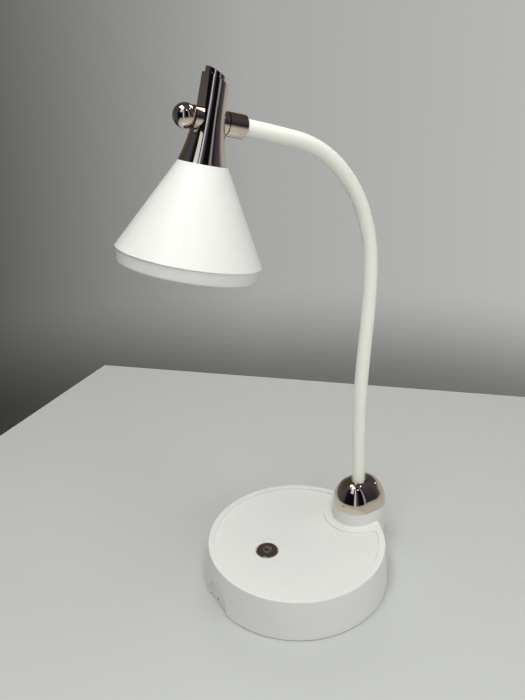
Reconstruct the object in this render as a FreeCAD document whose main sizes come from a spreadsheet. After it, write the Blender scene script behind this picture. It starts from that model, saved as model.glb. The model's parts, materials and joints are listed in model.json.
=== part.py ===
import FreeCAD, Part
import math
import os
import re

import Sketcher
from FreeCAD import Placement, Rotation, Vector

# A rechargeable desk lamp: a round base with a button, a gooseneck, and a tilting cone shade.
# Lamp frame: the origin is the middle of the foot pad on the table, +Z is up, the post stands toward +Y
# and the button toward -Y.  Lengths are millimetres and angles are degrees.

SIZES = (
    # Base
    ("floorGap", 0.8, "table to the lower edge of the base, a shadow gap"),
    ("footRadius", 72.5, "base side at its lower edge"),
    ("rimRadius", 69.2, "base side at its upper edge"),
    ("baseHeight", 32.8, "table to the rim"),
    ("rimBand", 5.0, "flat band between the base side and the tray"),
    ("rimRound", 0.9, "rounding of the rim"),
    ("traySink", 1.2, "depth of the tray under the rim"),
    ("bandCorner", 4.0, "rounding where the rim band meets the band of the post"),
    ("edgeRound", 0.4, "rounding of the tray's edge and the collar"),
    ("shellWall", 2.4, "moulded wall of the base"),
    ("postRadius", 18.3, "end curves and half width of the post"),
    ("postFront", 57.2, "lamp axis to the centre of the post's front curve"),
    ("postLength", 8.2, "straight flank of the post"),
    ("postBand", 7.1, "raised band round the front of the post"),
    ("collarHeight", 10.9, "rim to the top of the post's collar"),
    ("deckThickness", 2.5, "deck inside the top of the collar"),
    ("plateThickness", 2.6, "base plate"),
    ("plateGap", 0.2, "base plate to the shell"),
    ("padRadius", 66.0, "foot pad"),
    ("padRecess", 0.6, "foot pad let into the base plate"),
    ("padGap", 0.3, "foot pad to the side of its recess"),
    ("coverCircle", 58.0, "lamp axis to the cover screws"),
    ("coverBoss", 4.0, "radius of a cover boss"),
    ("coverCup", 4.6, "radius of the cup under a cover boss"),
    ("cupHeight", 2.0, "height of the cup above the base plate"),
    ("cupFloor", 2.2, "material between the screw head and the cover boss"),
    ("skirtDepth", 5.0, "skirt and gussets of the post under the ceiling"),
    ("ribDepth", 10.0, "rib from a cover boss to the side, under the ceiling"),
    ("ribThickness", 1.4, "ribs and gussets"),
    # Screws
    ("coverScrew", 1.4, "shank radius of a cover screw"),
    ("coverHead", 2.6, "head radius of a cover screw"),
    ("coverShank", 12.0, "shank of a cover screw above its head"),
    ("smallScrew", 1.0, "shank radius of a small screw"),
    ("smallHead", 2.0, "head radius of a small screw"),
    ("smallShank", 6.0, "shank of a small screw beyond its head"),
    ("headHeight", 1.4, "height of a screw head"),
    ("threadGap", 0.05, "screw to its threaded hole"),
    ("passGap", 0.3, "screw to its plain hole"),
    # Indicator bay
    ("bayRadius", 13.3, "arch of the indicator bay"),
    ("bayHeight", 5.0, "table to the centre of the arch"),
    ("bayDistance", 70.0, "lamp axis to the flat floor of the bay"),
    ("bayWall", 2.4, "thickness of the wall behind the bay"),
    ("bayMargin", 1.7, "thick wall beyond the arch"),
    ("bayOverlap", 0.2, "thick wall short of the base side"),
    ("indicatorHeight", 4.7, "table to the indicator"),
    ("indicatorRadius", 0.9, "nose of the indicator lamp"),
    ("indicatorCollar", 1.25, "collar of the indicator lamp"),
    # Ballast and battery
    ("ballastRadius", 50.0, "steel ballast disc"),
    ("ballastThickness", 5.0, "steel ballast disc"),
    ("ballastCircle", 42.0, "lamp axis to the ballast screws"),
    ("ballastPost", 3.0, "radius of a ballast post"),
    ("ballastHead", 4.2, "head radius of a ballast screw"),
    ("ballastGap", 0.2, "ballast to its posts"),
    ("cellRadius", 9.2, "lithium cell"),
    ("cellLength", 65.0, "lithium cell"),
    ("cellAcross", 12.0, "lamp axis to the axis of the cell"),
    ("cellGap", 0.2, "cell to the walls of its holder"),
    ("contactRoom", 3.5, "spring contact between the cell and its plate"),
    ("contactPlate", 0.5, "thickness of a contact plate"),
    ("holderWall", 1.2, "floor and sides of the battery holder"),
    ("holderHeight", 11.6, "battery holder"),
    ("holderScrewAlong", 16.0, "holder screw along the cell"),
    # Control board and button
    ("buttonAhead", 26.6, "lamp axis to the button"),
    ("buttonRadius", 8.3, "button"),
    ("buttonGap", 0.3, "button to its hole"),
    ("buttonTravel", 1.2, "stroke of the button"),
    ("buttonProud", 0.7, "crown of the button above the tray"),
    ("buttonCrown", 0.4, "rise of the crown from its edge"),
    ("buttonEdge", 0.4, "chamfer round the crown"),
    ("buttonWall", 1.6, "crown and skirt of the button"),
    ("flangeWidth", 1.3, "flange of the button beyond its skirt"),
    ("flangeThickness", 1.2, "flange of the button"),
    ("flangeSlack", 0.4, "flange to the ceiling"),
    ("guideGap", 0.3, "flange to its guide ring"),
    ("guideWall", 1.5, "guide ring under the ceiling"),
    ("guideDepth", 2.8, "guide ring under the ceiling"),
    ("holeChamfer", 0.6, "chamfer of the button hole"),
    ("boardWidth", 40.0, "control board across"),
    ("boardDepth", 34.0, "control board front to rear"),
    ("boardFront", 44.0, "lamp axis to the front edge of the control board"),
    ("boardThickness", 1.6, "circuit boards"),
    ("boardDrop", 10.0, "ceiling to the top of the control board"),
    ("boardInset", 4.0, "board screws from the edges of the board"),
    ("boardBoss", 3.0, "radius of a board boss"),
    ("connectorAcross", 14.5, "lamp axis to the lead's connector"),
    ("connectorBack", 22.0, "front edge of the control board to the lead's connector"),
    ("connectorWidth", 7.0, "the lead's connector"),
    ("connectorHeight", 4.4, "the lead's connector"),
    ("switchSide", 8.5, "switch body"),
    ("switchHeight", 6.0, "switch body"),
    ("plungerRadius", 1.7, "switch plunger"),
    ("plungerSpare", 0.3, "switch plunger above its body with the button pressed"),
    ("plungerDepth", 2.8, "switch plunger inside its body"),
    ("plungerGap", 0.08, "switch plunger to its bore"),
    ("buttonStem", 2.5, "radius of the button's stem"),
    # Charging socket
    ("socketHeight", 9.2, "table to the middle of the charging socket"),
    ("socketWidth", 8.9, "socket shell"),
    ("socketThickness", 3.2, "socket shell"),
    ("socketDepth", 7.4, "socket shell"),
    ("socketWall", 0.3, "socket shell"),
    ("socketSink", 0.6, "socket mouth behind the post's rear face"),
    ("socketGap", 0.25, "socket to its opening"),
    ("portWidth", 16.0, "socket board across"),
    ("portDepth", 14.0, "socket board front to rear"),
    # Cap and neck root
    ("capCrown", 4.6, "how much taller the cap is than a half ball"),
    ("capCrownRadius", 15.5, "crown of the cap"),
    ("capWall", 1.6, "cap"),
    ("capSeatGap", 0.2, "cap to its locating ridge"),
    ("ridgeHeight", 1.2, "locating ridge on the collar"),
    ("ridgeWidth", 1.2, "locating ridge on the collar"),
    ("capBoss", 3.0, "radius of a cap boss"),
    ("capScrewFront", 12.0, "neck axis to the front cap screw"),
    ("capScrewRear", 13.5, "neck axis to the rear cap screw"),
    ("hubRadius", 9.2, "thick crown round the neck"),
    ("hubDepth", 9.0, "thick crown round the neck"),
    ("neckHole", 5.6, "hole of the cap"),
    ("neckSink", 8.0, "countersink of the cap's hole"),
    ("sinkDepth", 3.4, "countersink of the cap's hole"),
    ("neckRear", 60.0, "lamp axis to the neck at the deck"),
    ("nippleHex", 14.0, "nipple and nut across their flats"),
    ("nippleFlange", 3.5, "height of the nipple's hexagon"),
    ("nippleThread", 5.0, "radius of the nipple's thread"),
    ("nippleTube", 5.6, "radius of the nipple's tube"),
    ("nippleHeight", 12.3, "deck to the top of the nipple"),
    ("nippleBelow", 7.5, "thread below the deck"),
    ("nippleBore", 2.2, "way for the lead through the nipple"),
    ("nippleGap", 0.1, "thread to the deck's hole"),
    ("nutHeight", 3.7, "nut under the deck"),
    ("washerRadius", 8.5, "washer under the deck"),
    ("washerThickness", 1.0, "washer under the deck"),
    ("socketSeat", 6.0, "neck seated in the nipple"),
    # Neck
    ("sleeveRadius", 5.0, "neck over its sleeve"),
    ("sleeveBore", 3.9, "inside of the sleeve"),
    ("coreRadius", 3.6, "bendable core"),
    ("coreBore", 1.5, "way for the lead through the core"),
    ("coreSeatGap", 0.05, "core to its seats"),
    ("sleeveSeatGap", 0.08, "sleeve to its seat"),
    ("sleeveFoot", 0.2, "nipple to the foot of the sleeve"),
    ("leadRadius", 1.1, "two-core lead"),
    ("knuckleGap", 0.65, "end of a core piece to the middle of its joint"),
    # Head
    ("barReach", 22.3, "rear end of the ferrule to the stem's axis"),
    ("ferruleRadius", 6.9, "ferrule"),
    ("ferruleLength", 11.9, "ferrule"),
    ("ferruleWall", 2.0, "end wall of the ferrule"),
    ("ferruleSeat", 5.8, "sleeve seated in the ferrule"),
    ("boltRadius", 2.5, "pivot bolt"),
    ("boltHead", 3.5, "head of the pivot bolt"),
    ("boltHeadHeight", 1.6, "head of the pivot bolt"),
    ("boltBore", 1.3, "way for the lead through the bolt"),
    ("boltTail", 5.5, "bolt inside the ball"),
    ("boltGap", 0.05, "bolt to its bores"),
    ("frictionWasher", 0.5, "friction washers"),
    ("frictionRadius", 5.5, "friction washers"),
    ("bossRadius", 6.6, "cross boss of the stem"),
    ("bossFront", 11.0, "stem's axis to the end of its front boss"),
    ("ballRadius", 6.95, "ball knob"),
    ("ballCentre", 3.55, "flat of the ball to its centre"),
    ("stemFoot", 23.6, "bar to the foot of the stem"),
    ("stemFootRadius", 14.5, "stem where it meets the shade"),
    ("stemWaist", 14.0, "bar to the top of the stem's curve"),
    ("stemWaistRadius", 8.3, "stem at the top of its curve"),
    ("stemTopRadius", 7.5, "stem at its top"),
    ("stemCut", 21.65, "bar to the middle of the slanted top"),
    ("stemSlant", 23.8, "angle of the slanted top"),
    ("stemFlat", 6.5, "stem's axis to its front flat"),
    ("stemBore", 3.4, "way for the lead through the stem"),
    ("plugRadius", 6.4, "plug on the slanted top"),
    ("plugHeight", 2.8, "plug on the slanted top"),
    ("plugShank", 5.3, "radius of the plug inside the stem"),
    ("plugGap", 0.1, "plug to its bore"),
    ("plugDepth", 9.0, "bar to the foot of the plug"),
    ("tailRadius", 4.9, "threaded tail of the stem"),
    ("tailLength", 9.4, "threaded tail of the stem"),
    ("tailGap", 0.1, "tail to the shade's hole"),
    ("shadeNut", 16.0, "shade nut across its flats"),
    ("shadeNutHeight", 4.0, "shade nut"),
    # Shade
    ("shadeHeight", 53.15, "cone of the shade"),
    ("shadeMouth", 43.6, "cone of the shade at its lower edge"),
    ("shadeWall", 1.9, "cone of the shade"),
    ("shadeTopPlate", 3.0, "top plate of the shade"),
    ("ringRadius", 43.0, "ring at its upper edge"),
    ("ringFootRadius", 42.0, "ring at its lower edge"),
    ("ringHeight", 8.25, "ring"),
    ("ringRound", 1.1, "rounding of the ring's lower edge"),
    ("ringWall", 1.3, "ring beside the diffuser"),
    ("spigotRise", 3.75, "spigot of the ring inside the cone"),
    ("spigotWall", 1.5, "spigot of the ring"),
    ("spigotGap", 0.2, "spigot to the cone"),
    ("diffuserThickness", 2.0, "diffuser"),
    ("diffuserSink", 1.4, "diffuser above the ring's lower edge"),
    ("diffuserGap", 0.2, "diffuser to the ring"),
    ("diffuserLedge", 1.6, "ledge above the diffuser"),
    ("lightBoardGap", 0.3, "light board to the spigot"),
    ("shelfRise", 1.15, "shelf of the light board above the ring's upper edge"),
    ("shelfThickness", 1.8, "shelf of the light board"),
    ("shelfWidth", 2.5, "shelf of the light board"),
    ("lightScrewInset", 2.4, "light board screws from the edge of the board"),
    ("lightBoss", 2.6, "radius of a light board boss"),
    ("lightBossDepth", 4.6, "light board boss below its shelf"),
    ("pilotFloor", 1.0, "floor of a light board boss under its screw"),
    ("chipLength", 3.5, "light chips"),
    ("chipWidth", 2.8, "light chips"),
    ("chipHeight", 0.7, "light chips"),
    ("innerChips", 12.0, "inner ring of light chips"),
    ("outerChips", 26.0, "outer ring of light chips"),
)

# The neck in its rest pose, from the deck to the ferrule: the length of each bend and how far it leans,
# positive toward the rear.
NECK_BENDS = (
    (36.0, -2.3),
    (39.2, 2.1),
    (39.2, 3.9),
    (39.2, 0.9),
    (39.2, -6.8),
    (39.2, -19.1),
    (39.2, -23.7),
    (39.2, -28.9),
    (36.1, -2.6),
)

# The lead inside the base, between the control board's connector and the foot of the nipple.
LEAD_ROUTE = (
    (34.0, -22.0, 21.4),
    (42.0, -4.0, 21.4),
    (41.0, 20.0, 21.6),
    (27.0, 41.0, 21.8),
    (12.0, 52.0, 22.0),
    (2.5, 58.6, 25.0),
)

# Under the control board: name, place across, place behind the front edge, side and height.
BOARD_PARTS = (
    ("coil", -9.5, 9.5, 7.0, 3.2),
    ("controller", 2.0, 13.5, 5.5, 1.5),
)
# The capacitor: place across, place behind the front edge, radius and height.
BOARD_CAN = (10.0, 22.0, 3.15, 5.4)

document = FreeCAD.newDocument("DeskLamp")
sheet = document.addObject("Spreadsheet::Sheet", "Sizes")
for row, (name, size, note) in enumerate(SIZES, 1):
    sheet.set(f"A{row}", name)
    sheet.set(f"B{row}", str(size))
    sheet.set(f"C{row}", note)
    sheet.setAlias(f"B{row}", name)
document.recompute()

size_words = re.compile(r"\b(" + "|".join(name for name, size, note in SIZES) + r")\b")
parts = {}


# ---- Sizes and bindings


def formula(text):
    return size_words.sub(r"Sizes.\1", text)


def value(text):
    return float(sheet.evalExpression(text))


def bind(item, properties):
    for name, text in properties.items():
        item.setExpression(name, formula(text))


def side_radius(level):
    """Outer radius of the base side at a height."""
    return f"(footRadius - ({level} - floorGap) * (footRadius - rimRadius) / (baseHeight - floorGap))"


def cone_radius(level):
    """Outer radius of the shade at a station of the head."""
    slope = "((shadeMouth - stemFootRadius) / shadeHeight)"
    return f"(stemFootRadius + (-stemFoot - ({level})) * {slope})"


tray = "(baseHeight - traySink)"
tray_radius = "(rimRadius - rimBand)"
bite_radius = "(postRadius + postBand)"
ceiling = "(baseHeight - traySink - shellWall)"
plate_top = "(floorGap + plateThickness)"
collar = "(baseHeight + collarHeight)"
deck_underside = "(baseHeight + collarHeight - deckThickness)"
post_rear = "(postFront + postLength)"
ballast_top = f"({plate_top} + ballastThickness)"
cell_height = f"({ballast_top} + holderWall + cellRadius)"
board_top = f"({ceiling} - boardDrop)"
board_underside = f"({board_top} - boardThickness)"
switch_top = f"({board_top} + switchHeight)"
plunger_top = f"({switch_top} + buttonTravel + plungerSpare)"
connector_along = "(-boardFront + connectorBack)"
port_board = "(socketHeight - socketThickness / 2 - boardThickness)"
shade_edge = "(-stemFoot - shadeHeight)"
ring_foot = f"({shade_edge} - ringHeight)"
shelf = f"({shade_edge} + shelfRise)"
spigot_top = f"({shade_edge} + spigotRise)"
cone_wall = "(shadeWall / cos(atan((shadeMouth - stemFootRadius) / shadeHeight)))"
spigot_outer = f"({cone_radius(spigot_top)} - {cone_wall} - spigotGap)"
light_board = f"({spigot_outer} - spigotWall - lightBoardGap)"
diffuser_top = f"({ring_foot} + diffuserSink + diffuserThickness)"
diffuser_radius = "(ringFootRadius - ringWall - diffuserGap)"
washer_rear = "(barReach - ferruleLength)"
boss_rear = f"({washer_rear} - frictionWasher)"
ball_flat = "(bossFront + frictionWasher)"
lamp_axis = ("0", "0")
button_axis = ("0", "-buttonAhead")
neck_axis = ("0", "neckRear")


# ---- Sketches and features


def new_body(label):
    body = document.addObject("PartDesign::Body", label)
    body.Label = label
    return body


def origin_feature(body, role):
    return next(item for item in body.Origin.OriginFeatures if item.Role == role)


def new_sketch(body, name, role="XY_Plane", offset="0", angle=0):
    """A sketch on an origin plane, moved along its normal and turned about it."""
    sketch = body.newObject("Sketcher::SketchObject", name)
    sketch.AttachmentSupport = [(origin_feature(body, role), "")]
    sketch.MapMode = "FlatFace"
    sketch.AttachmentOffset = Placement(Vector(0, 0, 0), Rotation(Vector(0, 0, 1), angle))
    bind(sketch, {"AttachmentOffset.Base.z": offset})
    return sketch


def constrain(sketch, kind, *what, text=None):
    if text is None:
        return sketch.addConstraint(Sketcher.Constraint(kind, *what))
    index = sketch.addConstraint(Sketcher.Constraint(kind, *what, value(text)))
    bind(sketch, {f"Constraints[{index}]": text})
    return index


def fix_point(sketch, geometry, position, across, along):
    """Pins a point at two formulas; a plain 0 puts it on the axis."""
    for text, axis, kind in ((across, -2, "DistanceX"), (along, -1, "DistanceY")):
        if text == "0":
            constrain(sketch, "PointOnObject", geometry, position, axis)
        else:
            constrain(sketch, kind, -1, 1, geometry, position, text=text)


def draw_circles(sketch, circles):
    for across, along, radius in circles:
        centre = Vector(value(across), value(along), 0)
        index = sketch.addGeometry(Part.Circle(centre, Vector(0, 0, 1), value(radius)))
        fix_point(sketch, index, 3, across, along)
        constrain(sketch, "Radius", index, text=radius)
    return sketch


def round_sketch(body, name, offset, circles, role="XY_Plane"):
    return draw_circles(new_sketch(body, name, role, offset), circles)


def draw_outline(sketch, points, arcs=()):
    """A closed outline through points, in order.  arcs holds (edge, radius, side of its centre)."""
    corners = [Vector(value(across), value(along), 0) for across, along in points]
    bends = {edge: (radius, side) for edge, radius, side in arcs}
    ends = []
    for edge, start in enumerate(corners):
        finish = corners[(edge + 1) % len(corners)]
        if edge not in bends:
            sketch.addGeometry(Part.LineSegment(start, finish))
            ends.append((1, 2))
            continue
        radius, side = bends[edge]
        half = (finish - start) / 2
        normal = Vector(-half.y, half.x, 0).normalize()
        reach = math.sqrt(value(radius) ** 2 - half.Length ** 2)
        centre = start + half + normal * (reach if side == "left" else -reach)
        first, last = (start, finish) if side == "left" else (finish, start)
        first_angle = math.atan2(first.y - centre.y, first.x - centre.x)
        last_angle = math.atan2(last.y - centre.y, last.x - centre.x)
        if last_angle < first_angle:
            last_angle += 2 * math.pi
        circle = Part.Circle(centre, Vector(0, 0, 1), value(radius))
        sketch.addGeometry(Part.ArcOfCircle(circle, first_angle, last_angle))
        ends.append((1, 2) if side == "left" else (2, 1))
    for edge, (across, along) in enumerate(points):
        before = edge - 1 if edge else len(points) - 1
        constrain(sketch, "Coincident", before, ends[before][1], edge, ends[edge][0])
        fix_point(sketch, edge, ends[edge][0], across, along)
    for edge, (radius, side) in bends.items():
        constrain(sketch, "Radius", edge, text=radius)
    return sketch


def draw_rectangle(sketch, left, right, lower, upper):
    return draw_outline(sketch, ((left, lower), (right, lower), (right, upper), (left, upper)))


def draw_block(sketch, across, along, side):
    """A square about a centre."""
    half = f"{side} / 2"
    return draw_rectangle(
        sketch, f"{across} - {half}", f"{across} + {half}", f"{along} - {half}", f"{along} + {half}"
    )


def draw_slot(sketch, first, second, radius):
    """A slot with round ends about two centres, one above or beside the other."""
    near = Vector(value(first[0]), value(first[1]), 0)
    far = Vector(value(second[0]), value(second[1]), 0)
    along = (far - near).normalize()
    aside = Vector(along.y, -along.x, 0) * value(radius)
    heading = math.atan2(along.y, along.x)
    base = len(sketch.Geometry)
    circles = [Part.Circle(centre, Vector(0, 0, 1), value(radius)) for centre in (near, far)]
    quarter = math.pi / 2
    sketch.addGeometry(Part.ArcOfCircle(circles[0], heading + quarter, heading + 3 * quarter))
    sketch.addGeometry(Part.LineSegment(near + aside, far + aside))
    sketch.addGeometry(Part.ArcOfCircle(circles[1], heading - quarter, heading + quarter))
    sketch.addGeometry(Part.LineSegment(far - aside, near - aside))
    for edge in range(4):
        constrain(sketch, "Tangent", base + edge, 2, base + (edge + 1) % 4, 1)
    fix_point(sketch, base, 3, *first)
    fix_point(sketch, base + 2, 3, *second)
    constrain(sketch, "Radius", base, text=radius)
    constrain(sketch, "Radius", base + 2, text=radius)
    return sketch


def draw_post(sketch, radius):
    return draw_slot(sketch, ("0", "postFront"), ("0", post_rear), radius)


def draw_tray(sketch):
    """The tray: a round outline with a round bite at the post, joined by two rounded corners."""
    outer = value(tray_radius)
    bite = value(bite_radius)
    corner = value("bandCorner")
    front = value("postFront")
    far = outer - corner
    near = bite + corner
    height = (far ** 2 - near ** 2 + front ** 2) / (2 * front)
    aside = math.sqrt(far ** 2 - height ** 2)
    direction = math.atan2(height, aside)
    slope = math.atan2(height - front, aside)
    turn = 2 * math.pi
    normal = Vector(0, 0, 1)
    big = Part.Circle(Vector(0, 0, 0), normal, outer)
    right = Part.Circle(Vector(aside, height, 0), normal, corner)
    small = Part.Circle(Vector(0, front, 0), normal, bite)
    left = Part.Circle(Vector(-aside, height, 0), normal, corner)
    sketch.addGeometry(Part.ArcOfCircle(big, math.pi - direction, turn + direction))
    sketch.addGeometry(Part.ArcOfCircle(right, direction, slope + math.pi))
    sketch.addGeometry(Part.ArcOfCircle(small, math.pi - slope, turn + slope))
    sketch.addGeometry(Part.ArcOfCircle(left, -slope, math.pi - direction))
    constrain(sketch, "Tangent", 0, 2, 1, 1)
    constrain(sketch, "Tangent", 1, 2, 2, 2)
    constrain(sketch, "Tangent", 2, 1, 3, 1)
    constrain(sketch, "Tangent", 3, 2, 0, 1)
    fix_point(sketch, 0, 3, "0", "0")
    fix_point(sketch, 2, 3, "0", "postFront")
    constrain(sketch, "Radius", 0, text=tray_radius)
    constrain(sketch, "Radius", 2, text=bite_radius)
    constrain(sketch, "Radius", 1, text="bandCorner")
    constrain(sketch, "Radius", 3, text="bandCorner")
    return sketch


def add_feature(body, kind, sketch, properties, settings=None):
    """Adds a feature and stops if it changes nothing."""
    before = body.Shape.Volume if body.Tip else 0
    feature = body.newObject(f"PartDesign::{kind}", f"{sketch.Name}{kind}")
    feature.Profile = sketch
    for name, setting in (settings or {}).items():
        setattr(feature, name, setting)
    bind(feature, properties)
    document.recompute()
    added = body.Shape.Volume - before
    wrong = added <= 0 if kind in ("Pad", "Revolution") else added >= 0
    if wrong:
        raise RuntimeError(f"{feature.Label} in {body.Label} changed the volume by {added}")
    return feature


def pad(body, sketch, length, against=False):
    return add_feature(body, "Pad", sketch, {"Length": length}, {"Reversed": against})


def pocket(body, sketch, length, along=False):
    """Cuts against the sketch's normal, or along it."""
    return add_feature(body, "Pocket", sketch, {"Length": length}, {"Reversed": along})


def repeat(body, feature, count):
    """Repeats a feature evenly round the Z axis."""
    pattern = body.newObject("PartDesign::PolarPattern", f"{feature.Name}Pattern")
    pattern.Originals = [feature]
    pattern.Axis = (origin_feature(body, "Z_Axis"), [""])
    pattern.Angle = 360
    pattern.Occurrences = count
    body.Tip = pattern
    document.recompute()
    return pattern


def mirror(body, feature):
    """Mirrors a feature in the plane X = 0."""
    mirrored = body.newObject("PartDesign::Mirrored", f"{feature.Name}Mirrored")
    mirrored.Originals = [feature]
    mirrored.MirrorPlane = (origin_feature(body, "YZ_Plane"), [""])
    body.Tip = mirrored
    document.recompute()
    return mirrored


def turn(body, sketch, kind="Revolution"):
    settings = {"ReferenceAxis": (sketch, ["V_Axis"]), "Angle": 360}
    return add_feature(body, kind, sketch, {}, settings)


def dress(body, kind, size, test):
    """Fillets or chamfers the edges that pass a test."""
    base = body.Tip
    names = [f"Edge{number}" for number, edge in enumerate(base.Shape.Edges, 1) if test(edge)]
    feature = body.newObject(f"PartDesign::{kind}", f"{body.Name}{kind}")
    feature.Base = (base, names)
    bind(feature, {"Radius" if kind == "Fillet" else "Size": size})
    document.recompute()
    return feature


def is_ring(edge, radius, level):
    """A round edge of a radius about a Z line at a height."""
    curve = edge.Curve
    if not isinstance(curve, Part.Circle):
        return False
    return abs(curve.Radius - value(radius)) < 0.01 and abs(curve.Center.z - value(level)) < 0.01


def is_level(edge, level):
    """An edge that lies at a height."""
    box = edge.BoundBox
    return abs(box.ZMin - value(level)) < 0.01 and abs(box.ZMax - value(level)) < 0.01


def is_upright(edge, lower, upper):
    """A straight edge between two heights."""
    box = edge.BoundBox
    flat = box.XLength < 0.01 and box.YLength < 0.01
    return flat and abs(box.ZMin - value(lower)) < 0.01 and abs(box.ZMax - value(upper)) < 0.01


def around(circle, count, first=0):
    """Centres evenly spaced round the Z axis."""
    angles = [first + 360 * number / count for number in range(count)]
    return [(f"({circle}) * cos({angle})", f"({circle}) * sin({angle})") for angle in angles]


def with_radius(places, radius):
    return [(across, along, radius) for across, along in places]


def revolved(label, points, arcs=()):
    body = new_body(label)
    turn(body, draw_outline(new_sketch(body, f"{label}_profile", "XZ_Plane"), points, arcs))
    return body


# ---- Part primitives


def place(item, centre, level):
    across, along = centre
    bind(item, {"Placement.Base.x": across, "Placement.Base.y": along, "Placement.Base.z": level})
    return item


def cylinder(name, radius, height, centre, level):
    item = document.addObject("Part::Cylinder", name)
    bind(item, {"Radius": radius, "Height": height})
    return place(item, centre, level)


def hexagon(name, flats, height, centre, level):
    item = document.addObject("Part::Prism", name)
    item.Polygon = 6
    bind(item, {"Circumradius": f"{flats} / 2 / cos(30)", "Height": height})
    return place(item, centre, level)


def fuse(name, items):
    item = document.addObject("Part::MultiFuse", name)
    item.Shapes = items
    return item


def cut(name, base, tool):
    item = document.addObject("Part::Cut", name)
    item.Base = base
    item.Tool = tool
    return item


def group(label, items):
    item = document.addObject("Part::Compound", label)
    item.Links = items
    return item


def finish(item, label, frame=None):
    """Names a sub-part, puts it in its frame and lists it."""
    item.Label = label
    if frame is not None:
        item.Placement = frame
    parts[label] = item
    return item


def screws(label, places, seat, kind, length, upward, head=None):
    """Screws of a kind, "cover" or "small": the seat is the face under their heads."""
    head = head or f"{kind}Head"
    head_level = f"{seat} - headHeight" if upward else seat
    shank_level = seat if upward else f"{seat} - ({length})"
    items = []
    for number, centre in enumerate(places, 1):
        name = f"{label}_{number}"
        top = cylinder(f"{name}_head", head, "headHeight", centre, head_level)
        rod = cylinder(f"{name}_shank", f"{kind}Screw", length, centre, shank_level)
        items.append(fuse(name, [top, rod]))
    return group(label, items)


# ---- Base


COVER_ANGLE = 45
cover_pilot = "coverScrew + threadGap"
small_pilot = "smallScrew + threadGap"
cup_top = f"({plate_top} + cupHeight)"
cover_places = around("coverCircle", 4, COVER_ANGLE)
ballast_places = around("ballastCircle", 3, 90)
board_places = [
    (f"{side} * (boardWidth / 2 - boardInset)", along)
    for side in (-1, 1)
    for along in ("-boardFront + boardInset", "-boardFront + boardDepth - boardInset")
]
holder_aside = "(cellRadius + cellGap - smallHead - passGap / 2)"
holder_places = [
    ("-holderScrewAlong", f"cellAcross - {holder_aside}"),
    ("holderScrewAlong", f"cellAcross + {holder_aside}"),
]
cap_places = [("0", "neckRear - capScrewFront"), ("0", "neckRear + capScrewRear")]
port_rear = f"({post_rear} + postRadius - socketSink)"
port_places = [
    (f"{side} * (portWidth / 2 - smallHead - threadGap)", f"{post_rear} + smallHead / 2")
    for side in (-1, 1)
]


def make_base_shell():
    body = new_body("base_shell")
    drum = new_sketch(body, "shell_drum", "XZ_Plane")
    corners = (
        ("0", "floorGap"),
        ("footRadius", "floorGap"),
        ("rimRadius", "baseHeight"),
        ("0", "baseHeight"),
    )
    turn(body, draw_outline(drum, corners))
    dress(body, "Fillet", "rimRound", lambda edge: is_ring(edge, "rimRadius", "baseHeight"))
    pocket(body, draw_tray(new_sketch(body, "shell_tray", offset="baseHeight")), "traySink")
    arcs = (tray_radius, bite_radius, "bandCorner")
    dress(body, "Fillet", "edgeRound", lambda edge: any(is_ring(edge, arc, "baseHeight") for arc in arcs))
    post = new_sketch(body, "shell_post", offset="floorGap")
    pad(body, draw_post(post, "postRadius"), f"{collar} - floorGap")
    dress(body, "Fillet", "edgeRound", lambda edge: is_level(edge, collar))
    ridge = new_sketch(body, "shell_ridge", offset=collar)
    draw_post(ridge, "postRadius - capWall - capSeatGap")
    draw_post(ridge, "postRadius - capWall - capSeatGap - ridgeWidth")
    pad(body, ridge, "ridgeHeight")
    cavity = new_sketch(body, "shell_cavity", "XZ_Plane")
    foot = f"{side_radius('floorGap')} - shellWall"
    shoulder = f"{side_radius(ceiling)} - shellWall"
    draw_outline(cavity, (("0", "floorGap"), (foot, "floorGap"), (shoulder, ceiling), ("0", ceiling)))
    turn(body, cavity, "Groove")
    well = draw_post(new_sketch(body, "shell_well", offset="floorGap"), "postRadius - shellWall")
    pocket(body, well, f"{deck_underside} - floorGap", along=True)
    add_shell_ribs(body)
    add_shell_bosses(body)
    add_indicator_bay(body)
    button_hole = "buttonRadius + buttonGap"
    hole = round_sketch(body, "shell_button_hole", tray, with_radius([button_axis], button_hole))
    pocket(body, hole, "shellWall")
    dress(body, "Chamfer", "holeChamfer", lambda edge: is_ring(edge, button_hole, tray))
    deck = new_sketch(body, "shell_deck_holes", offset=collar)
    draw_circles(deck, with_radius([neck_axis], "nippleThread + nippleGap"))
    draw_circles(deck, with_radius(cap_places, "coverScrew + passGap"))
    pocket(body, deck, "deckThickness")
    slot = new_sketch(body, "shell_socket_hole", "XZ_Plane", f"-({post_rear} + postRadius)")
    half = "(socketWidth - socketThickness) / 2"
    draw_slot(slot, (f"-{half}", "socketHeight"), (half, "socketHeight"), "socketThickness / 2 + socketGap")
    pocket(body, slot, "shellWall * 2", along=True)
    return finish(body, "base_shell")


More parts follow.
